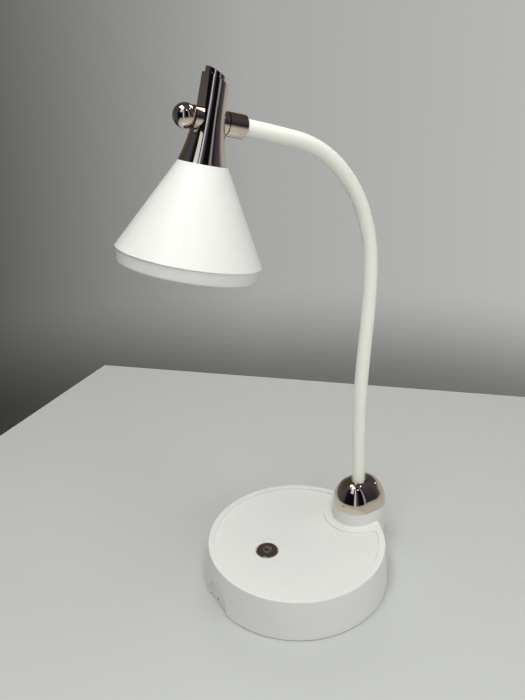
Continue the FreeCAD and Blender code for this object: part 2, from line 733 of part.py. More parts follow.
def add_shell_ribs(body):
    """The post's skirt with a gusset on each flank, and a rib behind each cover boss."""
    side = f"({side_radius(ceiling)} - shellWall / 3)"
    skirt = new_sketch(body, "shell_skirt", offset=f"{ceiling} - skirtDepth")
    draw_post(skirt, "postRadius")
    draw_post(skirt, "postRadius - shellWall")
    pad(body, skirt, "skirtDepth")
    gusset = new_sketch(body, "shell_gusset", offset=f"{ceiling} - skirtDepth")
    front = "postFront"
    rear = "(postFront + ribThickness)"
    start = "postRadius - shellWall / 2"
    corners = (
        (start, front),
        (f"sqrt({side} ^ 2 - {front} ^ 2)", front),
        (f"sqrt({side} ^ 2 - {rear} ^ 2)", rear),
        (start, rear),
    )
    mirror(body, pad(body, draw_outline(gusset, corners, ((1, side, "left"),)), "skirtDepth"))
    rib = new_sketch(body, "shell_rib", offset=f"{ceiling} - ribDepth", angle=COVER_ANGLE)
    draw_rectangle(rib, "coverCircle", side, "-ribThickness / 2", "ribThickness / 2")
    repeat(body, pad(body, rib, "ribDepth"), len(cover_places))


def add_shell_bosses(body):
    """Cover bosses, board bosses and the button's guide hang from the ceiling."""
    covers = round_sketch(body, "shell_cover_bosses", cup_top, with_radius(cover_places, "coverBoss"))
    pad(body, covers, f"{ceiling} - {cup_top}")
    boards = round_sketch(body, "shell_board_bosses", board_top, with_radius(board_places, "boardBoss"))
    pad(body, boards, "boardDrop")
    guide = new_sketch(body, "shell_guide", offset=f"{ceiling} - guideDepth")
    inner = "buttonRadius + flangeWidth + guideGap"
    draw_circles(guide, with_radius([button_axis], inner))
    draw_circles(guide, with_radius([button_axis], f"{inner} + guideWall"))
    pad(body, guide, "guideDepth")
    cover_pilots = round_sketch(body, "shell_cover_pilots", cup_top, with_radius(cover_places, cover_pilot))
    pocket(body, cover_pilots, "coverShank", along=True)
    board_pilots = round_sketch(body, "shell_board_pilots", board_top, with_radius(board_places, small_pilot))
    pocket(body, board_pilots, "smallShank", along=True)


def add_indicator_bay(body):
    """A shallow arched bay with a flat floor, and a thick wall behind it."""
    half = "(bayRadius + bayMargin)"
    top = f"(bayHeight + {half})"
    outer = f"({side_radius(top)} - bayOverlap)"
    inner = "(bayDistance - bayWall)"
    backing = new_sketch(body, "shell_bay_wall", offset="floorGap")
    corner = f"-sqrt({outer} ^ 2 - {half} ^ 2)"
    corners = ((f"-{half}", f"-{inner}"), (f"-{half}", corner), (half, corner), (half, f"-{inner}"))
    draw_outline(backing, corners, ((1, outer, "left"),))
    pad(body, backing, f"{top} - floorGap")
    arch = round_sketch(body, "shell_bay", "bayDistance", [("0", "bayHeight", "bayRadius")], "XZ_Plane")
    pocket(body, arch, "footRadius - bayDistance + rimRound", along=True)
    lamp = ("0", "indicatorHeight", "indicatorRadius + threadGap")
    hole = round_sketch(body, "shell_indicator_hole", "bayDistance", [lamp], "XZ_Plane")
    pocket(body, hole, "bayWall")


def make_base_plate():
    """The plate with its cups, its ballast posts and the two posts of the socket's board."""
    body = new_body("base_plate")
    disc = f"{side_radius(plate_top)} - shellWall - plateGap"
    pad(body, round_sketch(body, "plate_disc", "floorGap", with_radius([lamp_axis], disc)), "plateThickness")
    lobe = draw_post(new_sketch(body, "plate_lobe", offset="floorGap"), "postRadius - shellWall - plateGap")
    pad(body, lobe, "plateThickness")
    recess_top = "(floorGap + padRecess)"
    cups = round_sketch(body, "plate_cups", recess_top, with_radius(cover_places, "coverCup"))
    pad(body, cups, f"{cup_top} - {recess_top}")
    posts = round_sketch(body, "plate_posts", "floorGap", with_radius(ballast_places, "ballastPost"))
    pad(body, posts, f"{ballast_top} - ballastGap - floorGap")
    port_posts = round_sketch(body, "plate_port_posts", "floorGap", with_radius(port_places, "smallHead"))
    pad(body, port_posts, f"{port_board} - floorGap")
    recess = round_sketch(body, "plate_recess", "floorGap", with_radius([lamp_axis], "padRadius + padGap"))
    pocket(body, recess, "padRecess", along=True)
    head_hole = "coverHead + passGap"
    heads = round_sketch(body, "plate_head_holes", recess_top, with_radius(cover_places, head_hole))
    pocket(body, heads, f"{cup_top} - cupFloor - {recess_top}", along=True)
    shank_hole = "coverScrew + passGap"
    shanks = round_sketch(body, "plate_shank_holes", cup_top, with_radius(cover_places, shank_hole))
    pocket(body, shanks, "cupFloor")
    post_top = f"{ballast_top} - ballastGap"
    pilots = round_sketch(body, "plate_ballast_pilots", post_top, with_radius(ballast_places, small_pilot))
    pocket(body, pilots, "smallShank")
    port_pilots = round_sketch(body, "plate_port_pilots", port_board, with_radius(port_places, small_pilot))
    pocket(body, port_pilots, f"{port_board} - {recess_top}")
    notch = new_sketch(body, "plate_notch", offset=plate_top)
    half = "(bayRadius + bayMargin + plateGap)"
    draw_rectangle(notch, f"-{half}", half, "-footRadius", "-bayDistance + bayWall + plateGap")
    pocket(body, notch, "plateThickness")
    return finish(body, "base_plate")


def make_rubber_pad():
    body = new_body("rubber_pad")
    disc = round_sketch(body, "pad_disc", "0", with_radius([lamp_axis], "padRadius"))
    pad(body, disc, "floorGap + padRecess")
    dress(body, "Chamfer", "padRecess / 2", lambda edge: is_ring(edge, "padRadius", "0"))
    return finish(body, "rubber_pad")


def make_ballast():
    body = new_body("ballast_plate")
    disc = round_sketch(body, "ballast_disc", plate_top, with_radius([lamp_axis], "ballastRadius"))
    pad(body, disc, "ballastThickness")
    first = ("0", "ballastCircle", "ballastPost + ballastGap")
    hole = round_sketch(body, "ballast_hole", ballast_top, [first])
    repeat(body, pocket(body, hole, "ballastThickness"), len(ballast_places))
    taps = round_sketch(body, "ballast_taps", ballast_top, with_radius(holder_places, small_pilot))
    pocket(body, taps, "ballastThickness")
    return finish(body, "ballast_plate")


def make_battery_holder():
    body = new_body("battery_holder")
    half_length = "(cellLength / 2 + contactRoom + contactPlate + holderWall)"
    half_width = "(cellRadius + cellGap + holderWall)"
    block = new_sketch(body, "holder_block", offset=ballast_top)
    front = f"cellAcross - {half_width}"
    rear = f"cellAcross + {half_width}"
    draw_rectangle(block, f"-{half_length}", half_length, front, rear)
    pad(body, block, "holderHeight")
    trough = new_sketch(body, "holder_trough", offset=f"{ballast_top} + holderHeight")
    inside = f"({half_length} - holderWall)"
    draw_rectangle(trough, f"-{inside}", inside, f"{front} + holderWall", f"{rear} - holderWall")
    pocket(body, trough, "holderHeight - holderWall")
    notch = new_sketch(body, "holder_notch", "XZ_Plane", f"-(cellAcross + {half_width})")
    draw_circles(notch, [("0", f"{ballast_top} + holderHeight + holderWall", "cellRadius")])
    pocket(body, notch, f"2 * {half_width}", along=True)
    holes = new_sketch(body, "holder_holes", offset=f"{ballast_top} + holderWall")
    draw_circles(holes, with_radius(holder_places, "smallScrew + passGap"))
    pocket(body, holes, "holderWall")
    return finish(body, "battery_holder")


def make_battery_cell():
    """Turned about its own axis, then laid along X."""
    shoulder = "1.0"
    nub = "3.0"
    step = "0.8"
    points = (
        ("0", "0"),
        (f"cellRadius - {step}", "0"),
        ("cellRadius", step),
        ("cellRadius", f"cellLength - {step} - {shoulder}"),
        (f"cellRadius - {step}", f"cellLength - {shoulder}"),
        (nub, f"cellLength - {shoulder}"),
        (nub, "cellLength"),
        ("0", "cellLength"),
    )
    body = revolved("battery_cell", points)
    foot = Vector(-value("cellLength / 2"), value("cellAcross"), value(cell_height))
    return finish(body, "battery_cell", Placement(foot, Rotation(Vector(0, 1, 0), 90)))


def make_battery_contacts():
    """A plate with a tapered spring against each end of the cell."""
    plate_width = "12"
    plate_height = "10"
    foot_radius = "cellRadius * 0.45"
    tip_radius = "cellRadius * 0.25"
    items = []
    for side, name in ((-1, "minus"), (1, "plus")):
        plate = document.addObject("Part::Box", f"contact_{name}_plate")
        bind(plate, {"Length": "contactPlate", "Width": plate_width, "Height": plate_height})
        inner = "(cellLength / 2 + contactRoom)"
        left = inner if side > 0 else f"-{inner} - contactPlate"
        place(plate, (left, f"cellAcross - {plate_width} / 2"), f"{ballast_top} + holderWall")
        spring = document.addObject("Part::Cone", f"contact_{name}_spring")
        bind(spring, {"Radius1": foot_radius, "Radius2": tip_radius, "Height": "contactRoom"})
        spring.Placement = Placement(Vector(0, 0, 0), Rotation(Vector(0, 1, 0), -90 * side))
        place(spring, (f"{side} * {inner}", "cellAcross"), cell_height)
        items.append(fuse(f"contact_{name}", [plate, spring]))
    return finish(group("battery_contacts", items), "battery_contacts")


def make_control_board():
    """The board with its coil, controller and capacitor underneath and the lead's connector on top."""
    body = new_body("control_board")
    outline = new_sketch(body, "board_outline", offset=board_underside)
    draw_rectangle(outline, "-boardWidth / 2", "boardWidth / 2", "-boardFront", "-boardFront + boardDepth")
    pad(body, outline, "boardThickness")
    for name, across, back, width, height in BOARD_PARTS:
        block = new_sketch(body, f"board_{name}", offset=board_underside)
        draw_block(block, f"{across}", f"(-boardFront + {back})", f"{width}")
        pad(body, block, f"{height}", against=True)
    across, back, radius, height = BOARD_CAN
    circle = (f"{across}", f"-boardFront + {back}", f"{radius}")
    pad(body, round_sketch(body, "board_can", board_underside, [circle]), f"{height}", against=True)
    connector = new_sketch(body, "board_connector", offset=board_top)
    pad(body, draw_block(connector, "connectorAcross", connector_along, "connectorWidth"), "connectorHeight")
    holes = round_sketch(body, "board_holes", board_top, with_radius(board_places, "smallScrew + passGap"))
    pocket(body, holes, "boardThickness")
    return finish(body, "control_board")


def make_switch_body():
    body = new_body("switch_body")
    corner = "0.6"
    block = new_sketch(body, "switch_block", offset=board_top)
    pad(body, draw_block(block, *button_axis, "switchSide"), "switchHeight")
    dress(body, "Fillet", corner, lambda edge: is_upright(edge, board_top, switch_top))
    bore_radius = "plungerRadius + plungerGap"
    bore = round_sketch(body, "switch_bore", switch_top, with_radius([button_axis], bore_radius))
    pocket(body, bore, "plungerDepth + buttonTravel + passGap")
    return finish(body, "switch_body")


def make_switch_plunger():
    foot = f"({switch_top} - plungerDepth)"
    edge = "0.3"
    points = (
        ("0", foot),
        ("plungerRadius", foot),
        ("plungerRadius", f"{plunger_top} - {edge}"),
        (f"plungerRadius - {edge}", plunger_top),
        ("0", plunger_top),
    )
    body = revolved("switch_plunger", points)
    return finish(body, "switch_plunger", Placement(Vector(0, -value("buttonAhead"), 0), Rotation()))


def make_power_button():
    """A hollow crown with a flange that stops it under the ceiling, and a stem on the plunger."""
    flange_top = f"({ceiling} - flangeSlack)"
    flange_foot = f"({flange_top} - flangeThickness)"
    edge_level = f"({tray} + buttonProud - buttonCrown)"
    under = f"({edge_level} - buttonWall)"
    crown_edge = "(buttonRadius - buttonEdge)"
    points = (
        ("0", plunger_top),
        ("buttonStem", plunger_top),
        ("buttonStem", under),
        ("buttonRadius - buttonWall", under),
        ("buttonRadius - buttonWall", flange_foot),
        ("buttonRadius + flangeWidth", flange_foot),
        ("buttonRadius + flangeWidth", flange_top),
        ("buttonRadius", flange_top),
        ("buttonRadius", f"{edge_level} - buttonEdge"),
        (crown_edge, edge_level),
        ("0", f"{edge_level} + buttonCrown"),
    )
    crown = f"(({crown_edge} ^ 2 + buttonCrown ^ 2) / (2 * buttonCrown))"
    body = revolved("power_button", points, ((9, crown, "left"),))
    return finish(body, "power_button", Placement(Vector(0, -value("buttonAhead"), 0), Rotation()))


def make_port_board():
    body = new_body("port_board")
    outline = new_sketch(body, "port_outline", offset=port_board)
    rear = f"({post_rear} + sqrt((postRadius - shellWall) ^ 2 - (portWidth / 2) ^ 2) - plateGap)"
    draw_rectangle(outline, "-portWidth / 2", "portWidth / 2", f"{rear} - portDepth", rear)
    pad(body, outline, "boardThickness")
    top = f"{port_board} + boardThickness"
    holes = round_sketch(body, "port_holes", top, with_radius(port_places, "smallScrew + passGap"))
    pocket(body, holes, "boardThickness")
    return finish(body, "port_board")


def make_charge_socket():
    """A thin shell with round sides, open to the rear, round a contact tongue."""
    body = new_body("charge_socket")
    back_wall = "1"
    half_tongue = "3.3"
    half_thickness = "0.35"
    half = "(socketWidth - socketThickness) / 2"
    shell = new_sketch(body, "socket_shell", "XZ_Plane", f"-{port_rear}")
    draw_slot(shell, (f"-{half}", "socketHeight"), (half, "socketHeight"), "socketThickness / 2")
    pad(body, shell, "socketDepth")
    mouth = new_sketch(body, "socket_mouth", "XZ_Plane", f"-{port_rear}")
    draw_slot(mouth, (f"-{half}", "socketHeight"), (half, "socketHeight"), "socketThickness / 2 - socketWall")
    pocket(body, mouth, f"socketDepth - {back_wall}", along=True)
    tongue = new_sketch(body, "socket_tongue", "XZ_Plane", f"-({port_rear} - socketSink)")
    lower = f"socketHeight - {half_thickness}"
    upper = f"socketHeight + {half_thickness}"
    draw_rectangle(tongue, f"-{half_tongue}", half_tongue, lower, upper)
    pad(body, tongue, f"socketDepth - socketSink - {back_wall}")
    return finish(body, "charge_socket")


def make_charge_indicator():
    """A small round lamp with a collar behind the bay's wall, turned about its own axis."""
    collar_length = "1.4"
    points = (
        ("0", f"-{collar_length}"),
        ("indicatorCollar", f"-{collar_length}"),
        ("indicatorCollar", "0"),
        ("indicatorRadius", "0"),
        ("indicatorRadius", "bayWall"),
        ("0", "bayWall + indicatorRadius / 2"),
    )
    crown = "indicatorRadius * 1.25"
    body = revolved("charge_indicator", points, ((4, crown, "left"),))
    back = value("bayDistance - bayWall")
    frame = Placement(Vector(0, -back, value("indicatorHeight")), Rotation(Vector(1, 0, 0), 90))
    return finish(body, "charge_indicator", frame)


def make_base_screws():
    cup_floor = f"({cup_top} - cupFloor)"
    finish(screws("cover_screws", cover_places, cup_floor, "cover", "coverShank", True), "cover_screws")
    wide = "ballastHead"
    ballast = screws("ballast_screws", ballast_places, ballast_top, "small", "smallShank", False, wide)
    finish(ballast, "ballast_screws")
    holder_floor = f"({ballast_top} + holderWall)"
    holder = screws("holder_screws", holder_places, holder_floor, "small", "ballastThickness", False)
    finish(holder, "holder_screws")
    board = screws("board_screws", board_places, board_underside, "small", "smallShank", True)
    finish(board, "board_screws")
    port_seat = f"({port_board} + boardThickness)"
    port = screws("port_screws", port_places, port_seat, "small", f"{port_seat} - {plate_top}", False)
    finish(port, "port_screws")


# ---- Cap and neck root


def dome(name, inset):
    """The outline of the post under a rounded crown of two arcs, standing on the collar."""
    radius = f"(postRadius - {inset})"
    crown = f"(capCrownRadius - {inset})"
    rise = "(postRadius + capCrown - capCrownRadius)"
    spread = "(postRadius - capCrownRadius)"
    side = f"((({radius}) ^ 2 - ({crown}) ^ 2 + {rise} ^ 2) / (2 * {spread}))"
    meet_across = f"({crown} * ({side} - {radius}) / ({side} - {crown}))"
    meet_level = f"({collar} + {rise} + {crown} * {rise} / ({side} - {crown}))"
    top = f"({collar} + {rise} + {crown})"
    body = new_body(name)
    for end, along in (("front", "postFront"), ("rear", post_rear)):
        profile = new_sketch(body, f"{name}_{end}", "XZ_Plane", f"-{along}")
        points = (("0", collar), (radius, collar), (meet_across, meet_level), ("0", top))
        turn(body, draw_outline(profile, points, ((1, side, "left"), (2, crown, "left"))))
    barrel = new_sketch(body, f"{name}_barrel", "XZ_Plane", "-postFront")
    points = (
        (radius, collar),
        (meet_across, meet_level),
        (f"-{meet_across}", meet_level),
        (f"-{radius}", collar),
    )
    draw_outline(barrel, points, ((0, side, "left"), (1, crown, "left"), (2, side, "left")))
    pad(body, barrel, "postLength", against=True)
    return body


def make_neck_cap():
    """A hollow dome with two screw bosses and a thick crown round the neck."""
    height = "(postRadius + capCrown)"
    top = f"({collar} + {height})"
    posts = []
    pilots = []
    for number, centre in enumerate(cap_places, 1):
        posts.append(cylinder(f"cap_boss_{number}", "capBoss", height, centre, collar))
        depth = "coverShank - deckThickness + threadGap"
        pilots.append(cylinder(f"cap_pilot_{number}", cover_pilot, depth, centre, collar))
    hub = cylinder("cap_hub", "hubRadius", "hubDepth", neck_axis, f"{top} - hubDepth")
    hollow = cut("cap_hollow", dome("cap_inner", "capWall"), fuse("cap_posts", posts + [hub]))
    shell = cut("cap_shell", dome("cap_outer", "0"), hollow)
    way = cylinder("cap_way", "neckHole", height, neck_axis, collar)
    sink = document.addObject("Part::Cone", "cap_sink")
    bind(sink, {"Radius1": "neckHole", "Radius2": "neckSink", "Height": "sinkDepth"})
    place(sink, neck_axis, f"{top} - sinkDepth")
    finish(cut("neck_cap", shell, fuse("cap_holes", [way, sink] + pilots)), "neck_cap")


def make_neck_root():
    """The nipple that holds the neck on the deck, its washer and nut, and the cap's screws."""
    foot = f"({collar} - nippleBelow)"
    length = "nippleBelow + nippleHeight"
    flange = hexagon("nipple_hexagon", "nippleHex", "nippleFlange", neck_axis, collar)
    tube = cylinder("nipple_tube", "nippleTube", "nippleHeight", neck_axis, collar)
    thread = cylinder("nipple_thread", "nippleThread", "nippleBelow", neck_axis, foot)
    solid = fuse("nipple_solid", [flange, tube, thread])
    way = cylinder("nipple_way", "nippleBore", length, neck_axis, foot)
    seat_level = f"{foot} + {length} - socketSeat"
    seat = cylinder("nipple_seat", "coreRadius + coreSeatGap", "socketSeat", neck_axis, seat_level)
    finish(cut("neck_nipple", solid, fuse("nipple_bores", [way, seat])), "neck_nipple")
    washer_level = f"({deck_underside} - washerThickness)"
    washer = cylinder("washer_disc", "washerRadius", "washerThickness", neck_axis, washer_level)
    washer_bore = "nippleThread + nippleGap"
    washer_hole = cylinder("washer_hole", washer_bore, "washerThickness", neck_axis, washer_level)
    finish(cut("neck_washer", washer, washer_hole), "neck_washer")
    nut_level = f"{washer_level} - nutHeight"
    nut = hexagon("nut_hexagon", "nippleHex", "nutHeight", neck_axis, nut_level)
    nut_hole = cylinder("nut_hole", "nippleThread + threadGap", "nutHeight", neck_axis, nut_level)
    finish(cut("neck_nut", nut, nut_hole), "neck_nut")
    finish(screws("cap_screws", cap_places, deck_underside, "cover", "coverShank", True), "cap_screws")


# ---- Neck


class Bend:
    """One even bend of the neck in the plane X = 0; a heading of 0 points up and 90 points to the rear."""

    def __init__(self, start, heading, length, lean):
        self.start = start
        self.heading = heading
        self.length = length
        self.lean = lean

    def heading_at(self, distance):
        return self.heading + self.lean * distance / self.length

    def point_at(self, distance):
        half = math.radians(self.lean * distance / self.length) / 2
        chord = distance * math.sin(half) / half if abs(half) > 1e-9 else distance
        direction = math.radians(self.heading) + half
        return self.start + Vector(0, math.sin(direction), math.cos(direction)) * chord

    def edge(self, first=0.0, last=None):
        last = self.length if last is None else last
        middle = (first + last) / 2
        return Part.Arc(self.point_at(first), self.point_at(middle), self.point_at(last)).toShape()


def neck_bends():
    point = Vector(0, value("neckRear"), value(f"{collar} + nippleHeight - socketSeat"))
    heading = 0.0
    bends = []
    for length, lean in NECK_BENDS:
        bend = Bend(point, heading, length, lean)
        bends.append(bend)
        point = bend.point_at(length)
        heading = bend.heading_at(length)
    return bends


def heading_vector(heading):
    angle = math.radians(heading)
    return Vector(0, math.sin(angle), math.cos(angle))


def sweep(edges, radius):
    """A round bar along edges that meet smoothly; its volume is checked against its length."""
    path = Part.Wire(edges)
    start = edges[0].valueAt(edges[0].FirstParameter)
    direction = edges[0].tangentAt(edges[0].FirstParameter)
    section = Part.Wire(Part.makeCircle(radius, start, direction))
    bar = path.makePipeShell([section], True, False)
    expected = math.pi * radius ** 2 * path.Length
    if abs(bar.Volume - expected) > 0.01 * expected:
        raise RuntimeError(f"swept volume {bar.Volume} is not {expected}")
    return bar


def swept_part(label, shape):
    item = document.addObject("Part::Feature", label)
    item.Shape = shape
    return finish(item, label, Placement())


bends = neck_bends()
head_tilt = 90 + bends[-1].heading_at(bends[-1].length)
bar_start = bends[-1].point_at(bends[-1].length)
bar_direction = heading_vector(head_tilt - 90)
pivot = bar_start + bar_direction * value("barReach")
# Head frame: Z runs up the stem and -Y along the bar to the ball.  Bar frame: Z runs along the bar to the
# ball and Y up the stem.
head_frame = Placement(pivot, Rotation(Vector(1, 0, 0), -head_tilt))
bar_frame = Placement(pivot, Rotation(Vector(1, 0, 0), 90 - head_tilt))
sleeve_end = value("barReach - ferruleSeat")
core_end = value(f"{washer_rear} + ferruleWall + boltHeadHeight + passGap")


def make_neck_cores():
    """Nine stiff pieces of the bendable core, with a small gap at each joint."""
    gap = value("knuckleGap")
    for number, bend in enumerate(bends, 1):
        first = gap if number > 1 else 0.0
        last = bend.length - gap if number < len(bends) else bend.length
        edges = [bend.edge(first, last)]
        if number == len(bends):
            edges.append(Part.LineSegment(bar_start, pivot - bar_direction * core_end).toShape())
        tube = sweep(edges, value("coreRadius")).cut(sweep(edges, value("coreBore")))
        swept_part(f"neck_core_{number}", tube)


def make_neck_sleeve():
    foot = value("socketSeat + sleeveFoot")
    edges = [bends[0].edge(foot)] + [bend.edge() for bend in bends[1:]]
    edges.append(Part.LineSegment(bar_start, pivot - bar_direction * sleeve_end).toShape())
    swept_part("neck_sleeve", sweep(edges, value("sleeveRadius")).cut(sweep(edges, value("sleeveBore"))))


def rounded_route(points, share=0.45):
    """Straight runs joined by arcs, each as large as its two runs allow."""
    edges = []
    start = points[0]
    for before, corner, after in zip(points, points[1:], points[2:]):
        inward = (corner - before).normalize()
        outward = (after - corner).normalize()
        setback = share * min((corner - before).Length, (after - corner).Length)
        enter = corner - inward * setback
        leave = corner + outward * setback
        half = inward.getAngle(outward) / 2
        radius = setback / math.tan(half)
        print(f"lead bend radius {radius:.1f} mm")
        bisector = (outward - inward).normalize()
        middle = corner + bisector * (radius / math.cos(half) - radius)
        edges.append(Part.LineSegment(start, enter).toShape())
        edges.append(Part.Arc(enter, middle, leave).toShape())
        start = leave
    edges.append(Part.LineSegment(start, points[-1]).toShape())
    return edges


def make_lamp_lead():
    """From the control board through the neck and the hollow bolt to the light board, in one length."""
    connector_side = Vector(
        value("connectorAcross + connectorWidth / 2"),
        value(connector_along),
        value(f"{board_top} + connectorHeight / 2"),
    )
    nipple_foot = Vector(0, value("neckRear"), value(f"{collar} - nippleBelow - nippleBore * 1.5"))
    route = [connector_side] + [Vector(*point) for point in LEAD_ROUTE] + [nipple_foot, bends[0].start]
    edges = rounded_route(route) + [bend.edge() for bend in bends]
    up = head_frame.Rotation.multVec(Vector(0, 0, 1))
    across = Vector(1, 0, 0)
    bend_radius = value("boltRadius + leadRadius / 2")
    enter = pivot - bar_direction * bend_radius
    leave = pivot - up * bend_radius
    middle = pivot - (bar_direction + up) * bend_radius * (1 - math.sqrt(0.5))
    edges.append(Part.LineSegment(bar_start, enter).toShape())
    edges.append(Part.Arc(enter, middle, leave).toShape())
    tail_end = value("stemFoot + tailLength")
    board = value(f"-({shelf} + boardThickness)")
    upper = tail_end + 0.2 * (board - tail_end)
    lower = tail_end + 0.6 * (board - tail_end)
    slack = across * value("coreRadius")
    drop = [leave, pivot - up * upper, pivot - up * lower + slack, pivot - up * board + slack]
    edges += rounded_route(drop)
    swept_part("lamp_lead", sweep(edges, value("leadRadius")))


# ---- Bar and stem


def make_ferrule():
    rear = "-barReach"
    face = f"-{washer_rear}"
    edge = "0.5"
    points = (
        ("sleeveRadius + sleeveSeatGap", rear),
        (f"ferruleRadius - {edge}", rear),
        ("ferruleRadius", f"{rear} + {edge}"),
        ("ferruleRadius", face),
        ("boltRadius + boltGap", face),
        ("boltRadius + boltGap", f"{face} - ferruleWall"),
        ("coreRadius + coreSeatGap", f"{face} - ferruleWall"),
        ("coreRadius + coreSeatGap", f"{rear} + ferruleSeat"),
        ("sleeveRadius + sleeveSeatGap", f"{rear} + ferruleSeat"),
    )
    finish(revolved("ferrule", points), "ferrule", bar_frame)


def make_pivot_bolt():
    """A hollow bolt; the lead leaves it through a window toward the shade."""
    under_head = f"(-{washer_rear} - ferruleWall)"
    bore_end = "boltRadius"
    points = (
        ("boltBore", f"{under_head} - boltHeadHeight"),
        ("boltHead", f"{under_head} - boltHeadHeight"),
        ("boltHead", under_head),
        ("boltRadius", under_head),
        ("boltRadius", f"{ball_flat} + boltTail"),
        ("0", f"{ball_flat} + boltTail"),
        ("0", bore_end),
        ("boltBore", bore_end),
    )
    body = revolved("pivot_bolt", points)
    window = new_sketch(body, "bolt_window", "XZ_Plane")
    half = "(leadRadius + passGap)"
    draw_rectangle(window, f"-{half}", half, "-boltRadius - leadRadius", "leadRadius + passGap")
    pocket(body, window, "boltRadius + passGap", along=True)
    finish(body, "pivot_bolt", bar_frame)


def make_friction_washers():
    items = []
    for name, level in (("rear", f"-{washer_rear}"), ("front", "bossFront")):
        disc = cylinder(f"friction_{name}_disc", "frictionRadius", "frictionWasher", lamp_axis, level)
        hole = cylinder(f"friction_{name}_hole", "boltRadius + boltGap", "frictionWasher", lamp_axis, level)
        items.append(cut(f"friction_{name}", disc, hole))
    finish(group("friction_washers", items), "friction_washers", bar_frame)


def make_ball_knob():
    centre = f"({ball_flat} + ballCentre)"
    thread = "(boltRadius + boltGap)"
    depth = f"({ball_flat} + boltTail + passGap)"
    points = (
        (thread, ball_flat),
        ("sqrt(ballRadius ^ 2 - ballCentre ^ 2)", ball_flat),
        ("0", f"{centre} + ballRadius"),
        ("0", depth),
        (thread, depth),
    )
    finish(revolved("ball_knob", points, ((1, "ballRadius", "left"),)), "ball_knob", bar_frame)


def make_stem():
    """A turned stem that flares to the shade, with a slanted top, a front flat and a cross boss."""
    rise = "(stemFoot + stemWaist)"
    flare = "(stemFootRadius - stemWaistRadius)"
    above = "(stemCut + 2 * stemTopRadius)"
    points = (
        ("0", "-stemFoot"),
        ("stemFootRadius", "-stemFoot"),
        ("stemWaistRadius", "stemWaist"),
        ("stemTopRadius", above),
        ("0", above),
    )
    curve = f"(({rise} ^ 2 + {flare} ^ 2) / (2 * {flare}))"
    body = revolved("stem", points, ((1, curve, "right"),))
    flat = new_sketch(body, "stem_flat", "XZ_Plane", "stemFlat")
    draw_rectangle(flat, "-stemFootRadius", "stemFootRadius", "0", above)
    pocket(body, flat, "stemFootRadius - stemFlat", along=True)
    cap = new_sketch(body, "stem_slant", "YZ_Plane")
    reach = "(2 * stemTopRadius)"
    draw_outline(
        cap,
        (
            (f"-{reach}", f"stemCut + {reach} * tan(stemSlant)"),
            (reach, f"stemCut - {reach} * tan(stemSlant)"),
            (reach, f"{above} + {reach}"),
            (f"-{reach}", f"{above} + {reach}"),
        ),
    )
    add_feature(body, "Pocket", cap, {"Length": f"2 * {reach}"}, {"Midplane": True})
    boss = round_sketch(body, "stem_boss", f"-{boss_rear}", [("0", "0", "bossRadius")], "XZ_Plane")
    pad(body, boss, f"{boss_rear} + bossFront")
    face = [("0", "0", "ferruleRadius + passGap")]
    spot_face = round_sketch(body, "stem_spot_face", f"-{boss_rear}", face, "XZ_Plane")
    pocket(body, spot_face, "stemFootRadius - stemWaistRadius")
    tail = round_sketch(body, "stem_tail", "-stemFoot", [("0", "0", "tailRadius")])
    pad(body, tail, "tailLength", against=True)
    way = round_sketch(body, "stem_way", "-stemFoot - tailLength", [("0", "0", "stemBore")])
    pocket(body, way, "tailLength + stemFoot + boltRadius", along=True)
    seat = round_sketch(body, "stem_plug_bore", "plugDepth", [("0", "0", "plugShank + plugGap")])
    pocket(body, seat, above, along=True)
    cross = [("0", "0", "boltRadius + boltGap")]
    bore = round_sketch(body, "stem_cross_bore", f"-{boss_rear}", cross, "XZ_Plane")
    pocket(body, bore, f"{boss_rear} + bossFront", along=True)
    finish(body, "stem", head_frame)


def make_stem_plug():
    """A plug with a slanted head that follows the stem's cut."""
    body = new_body("stem_plug")
    above = "(stemCut + 2 * stemTopRadius)"
    head = round_sketch(body, "plug_head", "stemWaist", [("0", "0", "plugRadius")])
    pad(body, head, f"{above} - stemWaist")
    reach = "(2 * stemTopRadius)"
    drop = f"({reach} * tan(stemSlant))"
    raised = "(stemCut + plugHeight / cos(stemSlant))"
    lower = new_sketch(body, "plug_seat", "YZ_Plane")
    draw_outline(
        lower,
        ((f"-{reach}", "0"), (reach, "0"), (reach, f"stemCut - {drop}"), (f"-{reach}", f"stemCut + {drop}")),
    )
    add_feature(body, "Pocket", lower, {"Length": f"2 * {reach}"}, {"Midplane": True})
    upper = new_sketch(body, "plug_face", "YZ_Plane")
    draw_outline(
        upper,
        (
            (f"-{reach}", f"{raised} + {drop}"),
            (reach, f"{raised} - {drop}"),
            (reach, f"{above} + {reach}"),
            (f"-{reach}", f"{above} + {reach}"),
        ),
    )
    add_feature(body, "Pocket", upper, {"Length": f"2 * {reach}"}, {"Midplane": True})
    shank = round_sketch(body, "plug_shank", "plugDepth", [("0", "0", "plugShank")])
    pad(body, shank, "stemCut - plugDepth")
    finish(body, "stem_plug", head_frame)


# ---- Shade


light_places = around(f"({light_board} - lightScrewInset)", 3, 90)
light_shank = "(lightBossDepth - pilotFloor)"


def make_shade_cone():
    plate = "(-stemFoot - shadeTopPlate)"
    points = (
        ("tailRadius + tailGap", plate),
        (f"{cone_radius(plate)} - {cone_wall}", plate),
        (f"shadeMouth - {cone_wall}", shade_edge),
        ("shadeMouth", shade_edge),
        ("stemFootRadius", "-stemFoot"),
        ("tailRadius + tailGap", "-stemFoot"),
    )
    finish(revolved("shade_cone", points), "shade_cone", head_frame)


def make_shade_nut():
    level = "-stemFoot - shadeTopPlate - shadeNutHeight"
    nut = hexagon("shade_nut_hexagon", "shadeNut", "shadeNutHeight", lamp_axis, level)
    hole = cylinder("shade_nut_hole", "tailRadius + threadGap", "shadeNutHeight", lamp_axis, level)
    finish(cut("shade_nut", nut, hole), "shade_nut", head_frame)


